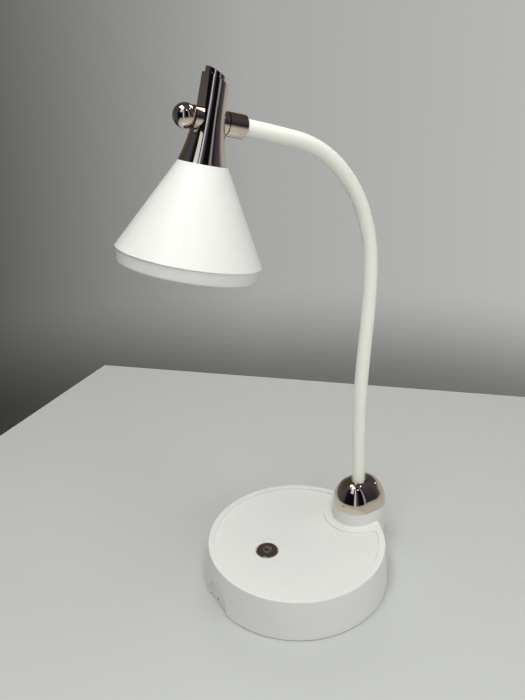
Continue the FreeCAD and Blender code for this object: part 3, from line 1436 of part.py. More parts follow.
def make_shade_ring():
    """The ring under the cone: a spigot and shelf for the light board above, the diffuser's recess below."""
    lens = "(ringFootRadius - ringWall)"
    points = (
        (lens, ring_foot),
        ("ringFootRadius - ringRound", ring_foot),
        ("ringFootRadius", f"{ring_foot} + ringRound"),
        ("ringRadius", shade_edge),
        (spigot_outer, shade_edge),
        (spigot_outer, spigot_top),
        (f"{spigot_outer} - spigotWall", spigot_top),
        (f"{spigot_outer} - spigotWall", shelf),
        (f"{light_board} - shelfWidth", shelf),
        (f"{light_board} - shelfWidth", f"{shelf} - shelfThickness"),
        (f"{lens} - diffuserLedge", f"{shelf} - shelfThickness"),
        (f"{lens} - diffuserLedge", diffuser_top),
        (lens, diffuser_top),
    )
    body = revolved("shade_ring", points, ((1, "ringRound", "left"),))
    bosses = round_sketch(body, "ring_bosses", shelf, with_radius(light_places, "lightBoss"))
    pad(body, bosses, "lightBossDepth", against=True)
    pilots = round_sketch(body, "ring_pilots", shelf, with_radius(light_places, small_pilot))
    pocket(body, pilots, light_shank)
    finish(body, "shade_ring", head_frame)


def make_diffuser():
    foot = f"({ring_foot} + diffuserSink)"
    edge = "0.4"
    points = (
        ("0", foot),
        (f"{diffuser_radius} - {edge}", foot),
        (diffuser_radius, f"{foot} + {edge}"),
        (diffuser_radius, diffuser_top),
        ("0", diffuser_top),
    )
    finish(revolved("diffuser", points), "diffuser", head_frame)


def make_light_board():
    body = new_body("led_board")
    disc = round_sketch(body, "light_disc", shelf, with_radius([lamp_axis], light_board))
    pad(body, disc, "boardThickness")
    top = f"({shelf} + boardThickness)"
    holes = round_sketch(body, "light_holes", top, with_radius(light_places, "smallScrew + passGap"))
    pocket(body, holes, "boardThickness")
    finish(body, "led_board", head_frame)
    finish(screws("led_screws", light_places, top, "small", light_shank, False), "led_screws", head_frame)


def make_light_chips():
    """Two rings of chips on the underside of the light board."""
    items = []
    for circle, count in (("innerChips", 8), ("outerChips", 16)):
        for number in range(count):
            angle = 360 * number / count
            chip = document.addObject("Part::Box", f"chip_{count}_{number}")
            bind(chip, {"Length": "chipWidth", "Width": "chipLength", "Height": "chipHeight"})
            corner = Rotation(Vector(0, 0, 1), angle)
            offset = corner.multVec(Vector(value(f"{circle} - chipWidth / 2"), -value("chipLength / 2"), 0))
            chip.Placement = Placement(offset + Vector(0, 0, value(f"{shelf} - chipHeight")), corner)
            items.append(chip)
    finish(group("led_chips", items), "led_chips", head_frame)


make_base_shell()
make_base_plate()
make_rubber_pad()
make_ballast()
make_battery_holder()
make_battery_cell()
make_battery_contacts()
make_control_board()
make_switch_body()
make_switch_plunger()
make_power_button()
make_port_board()
make_charge_socket()
make_charge_indicator()
make_base_screws()
make_neck_cap()
make_neck_root()
make_neck_cores()
make_neck_sleeve()
make_lamp_lead()
make_ferrule()
make_pivot_bolt()
make_friction_washers()
make_ball_knob()
make_stem()
make_stem_plug()
make_shade_cone()
make_shade_nut()
make_shade_ring()
make_diffuser()
make_light_board()
make_light_chips()
document.recompute()

for item in document.Objects:
    if any(state in ("Invalid", "Error") for state in item.State):
        raise RuntimeError(f"{item.Label} did not build: {item.State}")

os.makedirs("parts", exist_ok=True)
for label, item in parts.items():
    shape = item.Shape
    if shape.isNull() or not shape.isValid():
        raise RuntimeError(f"{label} has no valid shape")
    shape.exportStep(f"parts/{label}.step")
    print(f"{label}: {len(shape.Solids)} solid(s), {shape.Volume:.1f} mm3")

for number, bend in enumerate(bends[1:], 1):
    print(f"knuckle {number}: y {bend.start.y:.2f} z {bend.start.z:.2f} heading {bend.heading:.2f}")
print(f"pivot: y {pivot.y:.2f} z {pivot.z:.2f} tilt {head_tilt:.2f}")
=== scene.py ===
import json
import math

import bpy
from mathutils import Matrix, Vector


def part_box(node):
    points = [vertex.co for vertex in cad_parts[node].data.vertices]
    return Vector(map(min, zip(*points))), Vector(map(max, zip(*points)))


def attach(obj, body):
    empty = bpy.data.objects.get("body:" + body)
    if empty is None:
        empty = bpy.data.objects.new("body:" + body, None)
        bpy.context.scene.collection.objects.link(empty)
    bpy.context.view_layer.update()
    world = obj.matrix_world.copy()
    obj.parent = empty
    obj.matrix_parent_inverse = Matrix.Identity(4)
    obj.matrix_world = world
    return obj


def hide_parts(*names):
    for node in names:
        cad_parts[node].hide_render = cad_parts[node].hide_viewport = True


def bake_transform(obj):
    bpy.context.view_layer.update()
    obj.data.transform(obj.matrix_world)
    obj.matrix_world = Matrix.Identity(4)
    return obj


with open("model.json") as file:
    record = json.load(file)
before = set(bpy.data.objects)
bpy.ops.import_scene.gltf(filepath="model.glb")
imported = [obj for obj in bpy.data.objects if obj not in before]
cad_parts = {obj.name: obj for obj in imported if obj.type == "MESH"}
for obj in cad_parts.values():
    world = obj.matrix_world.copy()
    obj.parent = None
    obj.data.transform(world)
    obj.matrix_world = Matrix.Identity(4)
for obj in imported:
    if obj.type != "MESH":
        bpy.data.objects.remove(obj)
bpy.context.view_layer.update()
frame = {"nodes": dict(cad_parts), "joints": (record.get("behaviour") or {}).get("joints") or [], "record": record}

nodes = frame["nodes"]
joints = {joint["name"]: joint for joint in frame["joints"]}
print("frame loaded")


# Small tools

def mm(*sizes):  # millimetres to metres
    metres = [size / 1000 for size in sizes]
    return metres[0] if len(metres) == 1 else Vector(metres)


def linear(hexColour):  # sRGB hex to a linear colour
    channels = [int(hexColour[place:place + 2], 16) / 255 for place in (1, 3, 5)]
    return tuple(c / 12.92 if c <= 0.04045 else ((c + 0.055) / 1.055) ** 2.4 for c in channels) + (1.0,)


def addNode(tree, kind, inputs=None, **settings):
    node = tree.nodes.new(kind)
    for name, setting in settings.items():
        setattr(node, name, setting)
    for name, source in (inputs or {}).items():
        if isinstance(source, bpy.types.NodeSocket):
            tree.links.new(source, node.inputs[name])
        else:
            node.inputs[name].default_value = source
    return node


def newMaterial(name):
    material = bpy.data.materials.new(name)
    material.use_nodes = True
    material.node_tree.nodes.clear()
    return material, material.node_tree


# The camera and the room

cameraView = dict(
    place=(353.8, -226.9, 380.7),  # mm from the middle of the foot
    heading=60.4,  # degrees from straight ahead to the left
    pitch=-23.95,
    roll=-1.56,
    lens=34.28,
)


def addCamera():
    turned = Matrix.Rotation(math.radians(cameraView["heading"]), 3, "Z")
    raised = Matrix.Rotation(math.radians(90 + cameraView["pitch"]), 3, "X")
    rolled = Matrix.Rotation(math.radians(cameraView["roll"]), 3, "Z")
    bpy.ops.object.camera_add(location=mm(*cameraView["place"]))
    camera = bpy.context.object
    camera.name = "viewCamera"
    camera.rotation_euler = (turned @ raised @ rolled).to_euler()
    camera.data.lens = cameraView["lens"]
    camera.data.clip_start = 0.01
    bpy.context.scene.camera = camera


room = dict(
    tableColour="#C6C8C5",
    tableCorner=(-466, -8),  # mm, the far left corner of the table top
    tableRight=(366, 396),  # direction of its rear edge
    tableFront=(117, -158),  # direction of its left edge
    tableReach=5.0,  # how many times each direction is followed
    tableThickness=18,
    tableRough=0.42,
    pebbles=900.0,  # pebbles of the laminate to the metre
    pebbleBump=0.2,  # mm
    # painted shade: the wall is darker to the left and paler to the right, as the light falls across it
    wallShades=((0.0, "#5A5A58"), (0.5, "#A7A7A5"), (1.0, "#B7B7B5")),  # from left to right
    wallSpread=(-0.38, 0.36),  # the part of the view over which they run
    # painted shade: the wall is darker low down, below eye level
    lowSpread=(-0.46, -0.31),  # the wall darkens over this drop below eye level
    lowShade=0.36,
    ceilingColour="#4C4641",
    ceilingSpread=(0.05, 0.4),  # the wall turns to ceiling over this rise above eye level
    # the unlit room in front, seen only in bright metal: painted reflections, upright dark and bright bands from
    # left to right
    frontShades=(
        (0.0, "#50505A"), (0.07, "#17171B"), (0.3, "#0B0B0D"), (0.385, "#24252B"), (0.42, "#F6F7FF"),
        (0.45, "#E4E8FF"), (0.475, "#6A6E84"), (0.56, "#40424F"), (0.62, "#101012"), (0.8, "#0C0A0C"),
        (0.865, "#B4B2BE"), (0.9, "#1A181B"), (1.0, "#4E4C54"),
    ),
    frontSpread=(-0.1, 0.35),  # where the room in front gives way to the wall
    skyStrength=0.16,
    lampAim=(0, 20, 150),  # mm, the place that every lamp faces
)

lamps = (
    # name, place in mm, width and depth in mm, power in watts, colour, shown in mirrors
    ("ceilingPanel", (300, -240, 2500), (2100, 1600), 22.0, "#FFFFFE", False),
    ("frontPanel", (360, -270, 800), (560, 420), 2.05, "#FFFFFD", False),
    ("fillPanel", (720, -120, 430), (420, 320), 0.6, "#FFFFFD", False),
    ("sidePanel", (900, 620, 560), (400, 500), 1.7, "#FFFFFD", False),
    ("rearPanel", (-700, 520, 800), (500, 500), 1.8, "#FFFFFD", False),
    ("ceilingLamp", (-20, -340, 1160), (560, 300), 2.4, "#FFFCF6", True),
    ("ceilingSpotRight", (370, 470, 1110), (110, 80), 0.25, "#FFFCF6", True),
    ("ceilingSpotFront", (640, -70, 1050), (90, 90), 0.15, "#FFFCF6", True),
    ("wallSpot", (210, 1130, 550), (90, 60), 0.1, "#FFFCF6", True),
    ("frontWindow", (454, -836, 1255), (420, 640), 0.8, "#F4F8FF", True),
)


def setShades(ramp, shades):
    stops = ramp.color_ramp.elements
    while len(stops) < len(shades):
        stops.new(0.5)
    for stop, (place, colour) in zip(stops, shades):
        stop.position = place
        stop.color = linear(colour)


def addRoom():
    world = bpy.data.worlds.new("room")
    bpy.context.scene.world = world
    world.use_nodes = True
    tree = world.node_tree
    tree.nodes.clear()
    # the grey wall seen behind the lamp, with painted shade: dark to the left and low down, pale to the right
    ray = addNode(tree, "ShaderNodeTexCoord").outputs["Generated"]
    heading = math.radians(cameraView["heading"])
    rightward = (math.cos(heading), math.sin(heading), 0.0)
    ahead = (-math.sin(heading), math.cos(heading), 0.0)
    across = addNode(tree, "ShaderNodeVectorMath", {0: ray, 1: rightward}, operation="DOT_PRODUCT")
    along = addNode(tree, "ShaderNodeVectorMath", {0: ray, 1: ahead}, operation="DOT_PRODUCT")
    height = addNode(tree, "ShaderNodeSeparateXYZ", {0: ray}).outputs["Z"]
    wallLeft, wallRight = room["wallSpread"]
    side = addNode(
        tree,
        "ShaderNodeMapRange",
        {"Value": across.outputs["Value"], "From Min": wallLeft, "From Max": wallRight},
    )
    wall = addNode(tree, "ShaderNodeValToRGB", {"Fac": side.outputs["Result"]})
    setShades(wall, room["wallShades"])
    # the same sweep round the horizon, so that the bands in front stand upright
    level = addNode(tree, "ShaderNodeVectorMath", {0: ray, 1: (1.0, 1.0, 0.0)}, operation="MULTIPLY")
    level = addNode(tree, "ShaderNodeVectorMath", {0: level.outputs["Vector"]}, operation="NORMALIZE")
    sweep = addNode(
        tree, "ShaderNodeVectorMath", {0: level.outputs["Vector"], 1: rightward}, operation="DOT_PRODUCT"
    )
    sweep = addNode(
        tree, "ShaderNodeMapRange", {"Value": sweep.outputs["Value"], "From Min": -1.0, "From Max": 1.0}
    )
    front = addNode(tree, "ShaderNodeValToRGB", {"Fac": sweep.outputs["Result"]})
    setShades(front, room["frontShades"])
    lowest, full = room["lowSpread"]
    low = addNode(
        tree,
        "ShaderNodeMapRange",
        {"Value": height, "From Min": lowest, "From Max": full, "To Min": room["lowShade"], "To Max": 1.0},
        interpolation_type="SMOOTHSTEP",
    )
    frontEnd, wallStart = room["frontSpread"]
    near = addNode(
        tree,
        "ShaderNodeMapRange",
        {"Value": along.outputs["Value"], "From Min": frontEnd, "From Max": wallStart},
        interpolation_type="SMOOTHSTEP",
    )
    wallTop, ceilingStart = room["ceilingSpread"]
    above = addNode(
        tree,
        "ShaderNodeMapRange",
        {"Value": height, "From Min": wallTop, "From Max": ceilingStart},
        interpolation_type="SMOOTHSTEP",
    )
    lit = addNode(
        tree,
        "ShaderNodeMix",
        {"Factor": 1.0, "A": wall.outputs["Color"], "B": low.outputs["Result"]},
        data_type="RGBA",
        blend_type="MULTIPLY",
    )
    far = addNode(
        tree,
        "ShaderNodeMix",
        {"Factor": above.outputs["Result"], "A": lit.outputs["Result"], "B": linear(room["ceilingColour"])},
        data_type="RGBA",
    )
    shown = addNode(
        tree,
        "ShaderNodeMix",
        {"Factor": near.outputs["Result"], "A": front.outputs["Color"], "B": far.outputs["Result"]},
        data_type="RGBA",
    )
    # the wall stands behind the lamp from every side, and only bright metal shows the painted reflections of the
    # room in front
    path = addNode(tree, "ShaderNodeLightPath").outputs
    shown = addNode(
        tree,
        "ShaderNodeMix",
        {"Factor": path["Is Camera Ray"], "A": shown.outputs["Result"], "B": lit.outputs["Result"]},
        data_type="RGBA",
    )
    seen = addNode(tree, "ShaderNodeBackground", {"Color": shown.outputs["Result"]})
    light = addNode(
        tree, "ShaderNodeBackground", {"Color": (1.0, 1.0, 1.0, 1.0), "Strength": room["skyStrength"]}
    )
    direct = addNode(
        tree, "ShaderNodeMath", {0: path["Is Camera Ray"], 1: path["Is Glossy Ray"]}, operation="MAXIMUM"
    )
    direct = addNode(
        tree,
        "ShaderNodeMath",
        {0: direct.outputs["Value"], 1: path["Is Transmission Ray"]},
        operation="MAXIMUM",
    )
    mixed = addNode(
        tree,
        "ShaderNodeMixShader",
        {0: direct.outputs["Value"], 1: light.outputs["Background"], 2: seen.outputs["Background"]},
    )
    addNode(tree, "ShaderNodeOutputWorld", {"Surface": mixed.outputs["Shader"]})


def addTable():
    corner = Vector(room["tableCorner"])
    rear = Vector(room["tableRight"]) * room["tableReach"]
    left = Vector(room["tableFront"]) * room["tableReach"] * 2
    bpy.ops.object.select_all(action="DESELECT")
    bpy.ops.mesh.primitive_plane_add(size=2)
    table = bpy.context.object
    table.name = "tableTop"
    for vertex in table.data.vertices:
        spread = (vertex.co.xy + Vector((1, 1))) / 2
        place = corner + rear * spread.x + left * spread.y
        vertex.co = mm(place.x, place.y, 0)
    bpy.ops.object.mode_set(mode="EDIT")
    bpy.ops.mesh.select_all(action="SELECT")
    bpy.ops.mesh.extrude_region_move(
        TRANSFORM_OT_translate={"value": (0, 0, -mm(room["tableThickness"]))}
    )
    bpy.ops.mesh.select_all(action="SELECT")
    bpy.ops.mesh.normals_make_consistent(inside=False)
    bpy.ops.object.mode_set(mode="OBJECT")
    # white laminate: a soft sheen over a very fine pebble
    material, tree = newMaterial("whiteLaminate")
    place = addNode(tree, "ShaderNodeTexCoord").outputs["Object"]
    pebble = addNode(tree, "ShaderNodeTexNoise", {"Vector": place, "Scale": room["pebbles"], "Detail": 2.0})
    bump = addNode(
        tree,
        "ShaderNodeBump",
        {"Height": pebble.outputs["Fac"], "Strength": 0.04, "Distance": mm(room["pebbleBump"])},
    )
    shader = addNode(
        tree,
        "ShaderNodeBsdfPrincipled",
        {
            "Base Color": linear(room["tableColour"]),
            "Roughness": room["tableRough"],
            "Normal": bump.outputs["Normal"],
        },
    )
    addNode(tree, "ShaderNodeOutputMaterial", {"Surface": shader.outputs["BSDF"]})
    table.data.materials.append(material)


def addLamps():
    for name, place, size, power, colour, mirrored in lamps:
        bpy.ops.object.light_add(type="AREA", location=mm(*place))
        lamp = bpy.context.object
        lamp.name = name
        lamp.data.shape = "RECTANGLE"
        lamp.data.size = mm(size[0])
        lamp.data.size_y = mm(size[1])
        lamp.data.energy = power
        lamp.data.color = linear(colour)[:3]
        lamp.visible_glossy = mirrored
        aim = mm(*room["lampAim"]) - lamp.location
        lamp.rotation_euler = aim.to_track_quat("-Z", "Y").to_euler()


bpy.context.scene.view_settings.view_transform = "Standard"
addCamera()
addRoom()
addTable()
addLamps()
print("camera and room ready")


# Finishes of moulded plastic, rubber and board
# colour, second colour of the mottle, roughness, grain in mm, bump in mm

plastics = {
    "white_shell": dict(  # injection-moulded ABS, satin: a broad soft highlight over a fine spark grain
        name="satinWhiteAbs", colour="#EAEBE7", mottle="#E5E6E2",
        rough=0.34, grain=0.5, bump=0.010, coat=0.12
    ),
    "white_inner": dict(  # the same plastic unpolished, with a coarser grain
        name="grainedWhiteAbs", colour="#DCDCD8", mottle="#D2D2CD",
        rough=0.55, grain=0.9, bump=0.03, coat=0.0
    ),
    "soft_white_sleeve": dict(  # soft PVC hose: creamy and matt, faintly uneven along its length
        name="creamPvcHose", colour="#FAFAF1", mottle="#F5F6EC",
        rough=0.5, grain=1.2, bump=0.01, coat=0.0
    ),
    "foot_rubber": dict(  # foamed rubber: black, matt and open-pored
        name="foamRubber", colour="#232323", mottle="#2E2E2D",
        rough=0.85, grain=0.7, bump=0.08, coat=0.0
    ),
    "washer_fibre": dict(  # black nylon, slightly waxy
        name="blackNylon", colour="#1C1C1D", mottle="#262627",
        rough=0.48, grain=0.8, bump=0.02, coat=0.0
    ),
    "plunger_plastic": dict(  # natural nylon, milky
        name="naturalNylon", colour="#DDDCD3", mottle="#D2D0C4",
        rough=0.4, grain=0.8, bump=0.01, coat=0.0
    ),
    "board_green": dict(  # solder mask over glass epoxy, glossy with a weave below
        name="greenSolderMask", colour="#14502B", mottle="#0E3F21",
        rough=0.25, grain=0.6, bump=0.01, coat=0.3
    ),
    "board_white": dict(  # white solder mask on an aluminium board
        name="whiteSolderMask", colour="#E8E8E4", mottle="#DEDEDA",
        rough=0.3, grain=0.6, bump=0.01, coat=0.3
    ),
    "cell_wrap": dict(  # shrunk PVC film over a steel can, glossy with fine wrinkles
        name="blueShrinkWrap", colour="#1E5F92", mottle="#174E7B",
        rough=0.22, grain=2.5, bump=0.05, coat=0.4
    ),
    "lead_jacket": dict(  # limp white PVC lead, satin
        name="whitePvcLead", colour="#DFDFDB", mottle="#D4D4CF",
        rough=0.45, grain=0.8, bump=0.01, coat=0.0
    ),
    "diffuser_opal": dict(  # opal polycarbonate, milky with a faint cloud
        name="opalPolycarbonate", colour="#EFEFEB", mottle="#E6E6E1",
        rough=0.3, grain=3.0, bump=0.005, coat=0.2
    ),
    "chip_phosphor": dict(  # phosphor gel in a light chip
        name="phosphorGel", colour="#E8D878", mottle="#DCC85E",
        rough=0.3, grain=0.3, bump=0.01, coat=0.3
    ),
}

moulded = dict(  # what the plastics share
    cloud=18,  # mm, size of the mottle
    uneven=0.15,  # how far the roughness strays either way
    ior=1.53,
    coatRough=0.12,
)

# Finishes of metal: colour, darker drift, roughness from and to, grain in mm along and across

metals = {
    "chrome_plate": dict(  # bright nickel-chrome: a clear mirror, faintly rose, with hairline haze
        name="warmChrome", colour="#E2D6C9", drift="#D8CABB",
        rough=(0.03, 0.08), grain=(1.5, 1.5), bump=0.0
    ),
    "ballast_steel": dict(  # black oxide over rolled steel, dull with paler rubs
        name="blackOxideSteel", colour="#3A3B3D", drift="#2B2C2E",
        rough=(0.45, 0.65), grain=(3.0, 3.0), bump=0.02
    ),
    "core_steel": dict(  # wound steel strip, bright across the turns
        name="woundSteel", colour="#9A9B9D", drift="#85878A",
        rough=(0.28, 0.4), grain=(0.8, 0.8), bump=0.02
    ),
    "screw_steel": dict(  # zinc plate, bluish and softly mottled
        name="zincPlate", colour="#B9BCC0", drift="#A3A7AD",
        rough=(0.25, 0.4), grain=(0.9, 0.9), bump=0.01
    ),
    "power_mark": dict(  # the same plating blasted to a satin, so the raised mark reads pale on the mirror
        name="satinNickel", colour="#EDE6DC", drift="#E0D8CD",
        rough=(0.3, 0.38), grain=(1.0, 1.0), bump=0.0
    ),
    "nipple_brass": dict(  # turned brass with fine tool rings
        name="turnedBrass", colour="#C9A55C", drift="#B8924A",
        rough=(0.2, 0.32), grain=(1.0, 0.25), bump=0.01
    ),
}


hazeSize = 12  # mm, size of the soft drift of colour over plated metal


def plasticFinish(look):
    material, tree = newMaterial(look["name"])
    place = addNode(tree, "ShaderNodeTexCoord").outputs["Object"]
    cloud = addNode(
        tree, "ShaderNodeTexNoise", {"Vector": place, "Scale": 1 / mm(moulded["cloud"]), "Detail": 3.0}
    )
    colour = addNode(
        tree,
        "ShaderNodeMix",
        {"Factor": cloud.outputs["Fac"], "A": linear(look["colour"]), "B": linear(look["mottle"])},
        data_type="RGBA",
    )
    grain = addNode(
        tree,
        "ShaderNodeTexNoise",
        {"Vector": place, "Scale": 1 / mm(look["grain"]), "Detail": 4.0, "Roughness": 0.6},
    )
    rough = addNode(
        tree,
        "ShaderNodeMapRange",
        {
            "Value": grain.outputs["Fac"],
            "To Min": look["rough"] * (1 - moulded["uneven"]),
            "To Max": look["rough"] * (1 + moulded["uneven"]),
        },
    )
    bump = addNode(
        tree,
        "ShaderNodeBump",
        {"Height": grain.outputs["Fac"], "Strength": 0.5, "Distance": mm(look["bump"])},
    )
    shader = addNode(
        tree,
        "ShaderNodeBsdfPrincipled",
        {
            "Base Color": colour.outputs["Result"],
            "Roughness": rough.outputs["Result"],
            "IOR": moulded["ior"],
            "Coat Weight": look["coat"],
            "Coat Roughness": moulded["coatRough"],
            "Normal": bump.outputs["Normal"],
        },
    )
    addNode(tree, "ShaderNodeOutputMaterial", {"Surface": shader.outputs["BSDF"]})
    return material


def metalFinish(look):
    material, tree = newMaterial(look["name"])
    place = addNode(tree, "ShaderNodeTexCoord").outputs["Object"]
    along, across = look["grain"]
    stretch = addNode(
        tree, "ShaderNodeMapping", {"Vector": place, "Scale": (1 / mm(along), 1 / mm(along), 1 / mm(across))}
    )
    grain = addNode(
        tree, "ShaderNodeTexNoise", {"Vector": stretch.outputs["Vector"], "Scale": 1.0, "Detail": 4.0}
    )
    haze = addNode(tree, "ShaderNodeTexNoise", {"Vector": place, "Scale": 1 / mm(hazeSize), "Detail": 3.0})
    colour = addNode(
        tree,
        "ShaderNodeMix",
        {"Factor": haze.outputs["Fac"], "A": linear(look["colour"]), "B": linear(look["drift"])},
        data_type="RGBA",
    )
    rough = addNode(
        tree,
        "ShaderNodeMapRange",
        {"Value": grain.outputs["Fac"], "From Min": 0.3, "From Max": 0.7,
         "To Min": look["rough"][0], "To Max": look["rough"][1]},
    )
    surface = {"Base Color": colour.outputs["Result"], "Metallic": 1.0, "Roughness": rough.outputs["Result"]}
    if look["bump"]:
        bump = addNode(
            tree,
            "ShaderNodeBump",
            {"Height": grain.outputs["Fac"], "Strength": 0.4, "Distance": mm(look["bump"])},
        )
        surface["Normal"] = bump.outputs["Normal"]
    shader = addNode(tree, "ShaderNodeBsdfPrincipled", surface)
    addNode(tree, "ShaderNodeOutputMaterial", {"Surface": shader.outputs["BSDF"]})
    return material


indicator = dict(
    colour="#C8201C",
    deep="#7E0C0A",
    rough=0.12,
    die=0.6,  # mm, size of the chip inside
    ior=1.55,
    clear=0.4,  # how much light passes
)


def redEpoxy():  # cast red epoxy: clear and glossy, darker toward the chip inside
    material, tree = newMaterial("redEpoxyLens")
    place = addNode(tree, "ShaderNodeTexCoord").outputs["Object"]
    cloud = addNode(
        tree, "ShaderNodeTexNoise", {"Vector": place, "Scale": 1 / mm(indicator["die"]), "Detail": 2.0}
    )
    colour = addNode(
        tree,
        "ShaderNodeMix",
        {"Factor": cloud.outputs["Fac"], "A": linear(indicator["colour"]), "B": linear(indicator["deep"])},
        data_type="RGBA",
    )
    shader = addNode(
        tree,
        "ShaderNodeBsdfPrincipled",
        {
            "Base Color": colour.outputs["Result"],
            "Roughness": indicator["rough"],
            "IOR": indicator["ior"],
            "Transmission Weight": indicator["clear"],
        },
    )
    addNode(tree, "ShaderNodeOutputMaterial", {"Surface": shader.outputs["BSDF"]})
    return material


finishes = {slot: plasticFinish(look) for slot, look in plastics.items()}
finishes.update({slot: metalFinish(look) for slot, look in metals.items()})
finishes["indicator_red"] = redEpoxy()

nodeSlots = {part["node"]: part["material_slot"] for part in frame["record"]["subparts"]}
for name, node in nodes.items():
    for place in node.material_slots:
        place.material = finishes[nodeSlots[name]]
print("finishes ready")


# Making and finishing a piece

smoothAngle = 35  # degrees, edges sharper than this stay crisp
mergeDistance = 0.002  # mm


def pick(piece):
    bpy.ops.object.select_all(action="DESELECT")
    bpy.context.view_layer.objects.active = piece
    piece.select_set(True)


def editMode(piece):
    pick(piece)
    bpy.ops.object.mode_set(mode="EDIT")


def closeUp():  # ends the edit: doubles merged and faces turned outwards
    bpy.ops.mesh.select_all(action="SELECT")
    bpy.ops.mesh.remove_doubles(threshold=mm(mergeDistance))
    bpy.ops.mesh.normals_make_consistent(inside=False)
    bpy.ops.object.mode_set(mode="OBJECT")


def modify(piece, kind, **settings):
    pick(piece)
    modifier = piece.modifiers.new(kind.title(), kind)
    for name, setting in settings.items():
        setattr(modifier, name, setting)
    bpy.ops.object.modifier_apply(modifier=modifier.name)


def finishPiece(piece, slot, *replaced, body=None, finish=None):  # finish where it isn't the slot's own
    pick(piece)
    bpy.ops.object.transform_apply(location=True, rotation=True, scale=True)
    bpy.ops.object.shade_smooth_by_angle(angle=math.radians(smoothAngle))
    piece.data.materials.clear()
    piece.data.materials.append(finishes[finish or slot])
    if replaced:
        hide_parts(*replaced)
    if body:
        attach(piece, body)
    return piece


# The neck: a bendable core in a soft sleeve, with the lead inside.
# Its centre line is a chain of arcs from joint to joint, each starting in the last one's direction.

neck = dict(  # mm
    start=(0, 60, 50),
    sleeveRadius=5.0,
    sleeveWall=1.1,
    sleeveSides=48,
    leadRadius=1.1,
    leadSides=16,
    leadSteps=12,
    leadBevel=3,
    foot=6.2,  # from the start of the neck to the foot of the sleeve
    rootLength=36.0,  # from the start of the neck to its first joint
    stepsPerBend=20,  # rings along a whole arc
    barReach=22.3,  # rear end of the ferrule to the stem's axis
    ferruleSeat=5.8,
    boltTurn=3.05,  # where the lead turns down inside the hollow bolt
    bendReach=13,  # the soft part each side of a joint
    twistFrom=5.8,  # the part of the lead inside the bolt that twists, behind the pivot
    twistTo=3.2,
    bodies=("base", "neck_2", "neck_3", "neck_4", "neck_5", "neck_6", "neck_7", "neck_8", "neck_tip"),
)

pivot = Vector(joints["head_swivel"]["pos_m"])
bar = Vector(joints["head_swivel"]["axis"])
barStart = pivot - bar * mm(neck["barReach"])
neckStops = [mm(*neck["start"])]
neckStops += [Vector(joint["pos_m"]) for joint in frame["joints"] if joint["name"].startswith("neck_")]
neckStops += [barStart]


def neckArcs():
    arcs = []
    heading = 0.0
    for low, high in zip(neckStops, neckStops[1:]):
        chord = math.atan2(high.y - low.y, high.z - low.z)
        lean = 2 * (chord - heading)
        length = (high - low).length * (lean / 2) / math.sin(lean / 2)
        side = Vector((0, math.cos(heading), -math.sin(heading)))
        arcs.append(dict(centre=low + side * length / lean, start=low, heading=heading, lean=lean))
        heading += lean
    return arcs


neckRun = neckArcs()


def neckPlace(arc, share):
    turned = Matrix.Rotation(-arc["lean"] * share, 3, "X") @ (arc["start"] - arc["centre"])
    return arc["centre"] + turned, arc["heading"] + arc["lean"] * share


def neckTube(name, radius, sides, spans, tail=0.0):  # spans: arc, from share, to share
    number, low, high = spans[0]
    place, heading = neckPlace(neckRun[number], low)
    bpy.ops.object.select_all(action="DESELECT")
    bpy.ops.mesh.primitive_circle_add(
        vertices=sides, radius=mm(radius), fill_type="NOTHING", location=place, rotation=(-heading, 0, 0)
    )
    tube = bpy.context.object
    tube.name = name
    bpy.ops.object.transform_apply(location=True, rotation=True, scale=True)
    editMode(tube)
    bpy.ops.mesh.select_all(action="SELECT")
    for number, low, high in spans:
        arc = neckRun[number]
        turn = arc["lean"] * (high - low)
        bpy.ops.mesh.spin(
            steps=max(2, round(neck["stepsPerBend"] * (high - low))),
            angle=turn,
            center=arc["centre"],
            axis=(1, 0, 0),
        )
    if tail:
        bpy.ops.mesh.extrude_region_move(TRANSFORM_OT_translate={"value": bar * mm(tail)})
    closeUp()
    return tube


def neckLengths():  # one length across each joint, from mid arc to mid arc
    for number in range(1, len(neckStops) - 1):
        last = number == len(neckStops) - 2
        first = number == 1
        spans = [(number - 1, 0.0 if first else 0.5, 1.0), (number, 0.0, 1.0 if last else 0.5)]
        yield number, spans, first, last


def bendWith(piece):
    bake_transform(piece)


def makeSleeve():
    footShare = neck["foot"] / neck["rootLength"]
    for number, spans, first, last in neckLengths():
        if first:
            spans[0] = (0, footShare, 1.0)
        sleeve = neckTube(
            f"neckSleeve.{number}", neck["sleeveRadius"], neck["sleeveSides"], spans,
            tail=neck["ferruleSeat"] if last else 0.0,
        )
        modify(sleeve, "SOLIDIFY", thickness=mm(neck["sleeveWall"]), offset=-1)
        finishPiece(sleeve, "soft_white_sleeve", "neck_sleeve")
        bendWith(sleeve)


def makeNeckLead():
    toBolt = neck["barReach"] - neck["boltTurn"]
    for number, spans, first, last in neckLengths():
        lead = neckTube(
            f"neckLead.{number}", neck["leadRadius"], neck["leadSides"], spans,
            tail=toBolt if last else 0.0,
        )
        finishPiece(lead, "lead_jacket", "lamp_lead")
        bendWith(lead)


def leadRun(name, points, body=None):  # points in metres, in the frame
    curve = bpy.data.curves.new(name, "CURVE")
    curve.dimensions = "3D"
    line = curve.splines.new("NURBS")
    line.points.add(len(points) - 1)
    for point, place in zip(line.points, points):
        point.co = (*place, 1.0)
    line.order_u = 3
    line.use_endpoint_u = True
    line.resolution_u = neck["leadSteps"]
    curve.bevel_depth = mm(neck["leadRadius"])
    curve.bevel_resolution = neck["leadBevel"]
    curve.use_fill_caps = True
    lead = bpy.data.objects.new(name, curve)
    bpy.context.scene.collection.objects.link(lead)
    pick(lead)
    bpy.ops.object.convert(target="MESH")
    lead = bpy.context.object
    editMode(lead)
    closeUp()
    return finishPiece(lead, "lead_jacket", "lamp_lead", body=body)


baseRoute = (  # mm, from the board's connector to the foot of the nipple and up to the neck
    (18, -22, 21.4), (34, -22, 21.4), (42, -4, 21.4), (41, 20, 21.6), (27, 41, 21.8), (12, 52, 22),
    (2.5, 58.6, 25), (0, 60, 32.9), (0, 60, 42), (0, 60, 50),
)

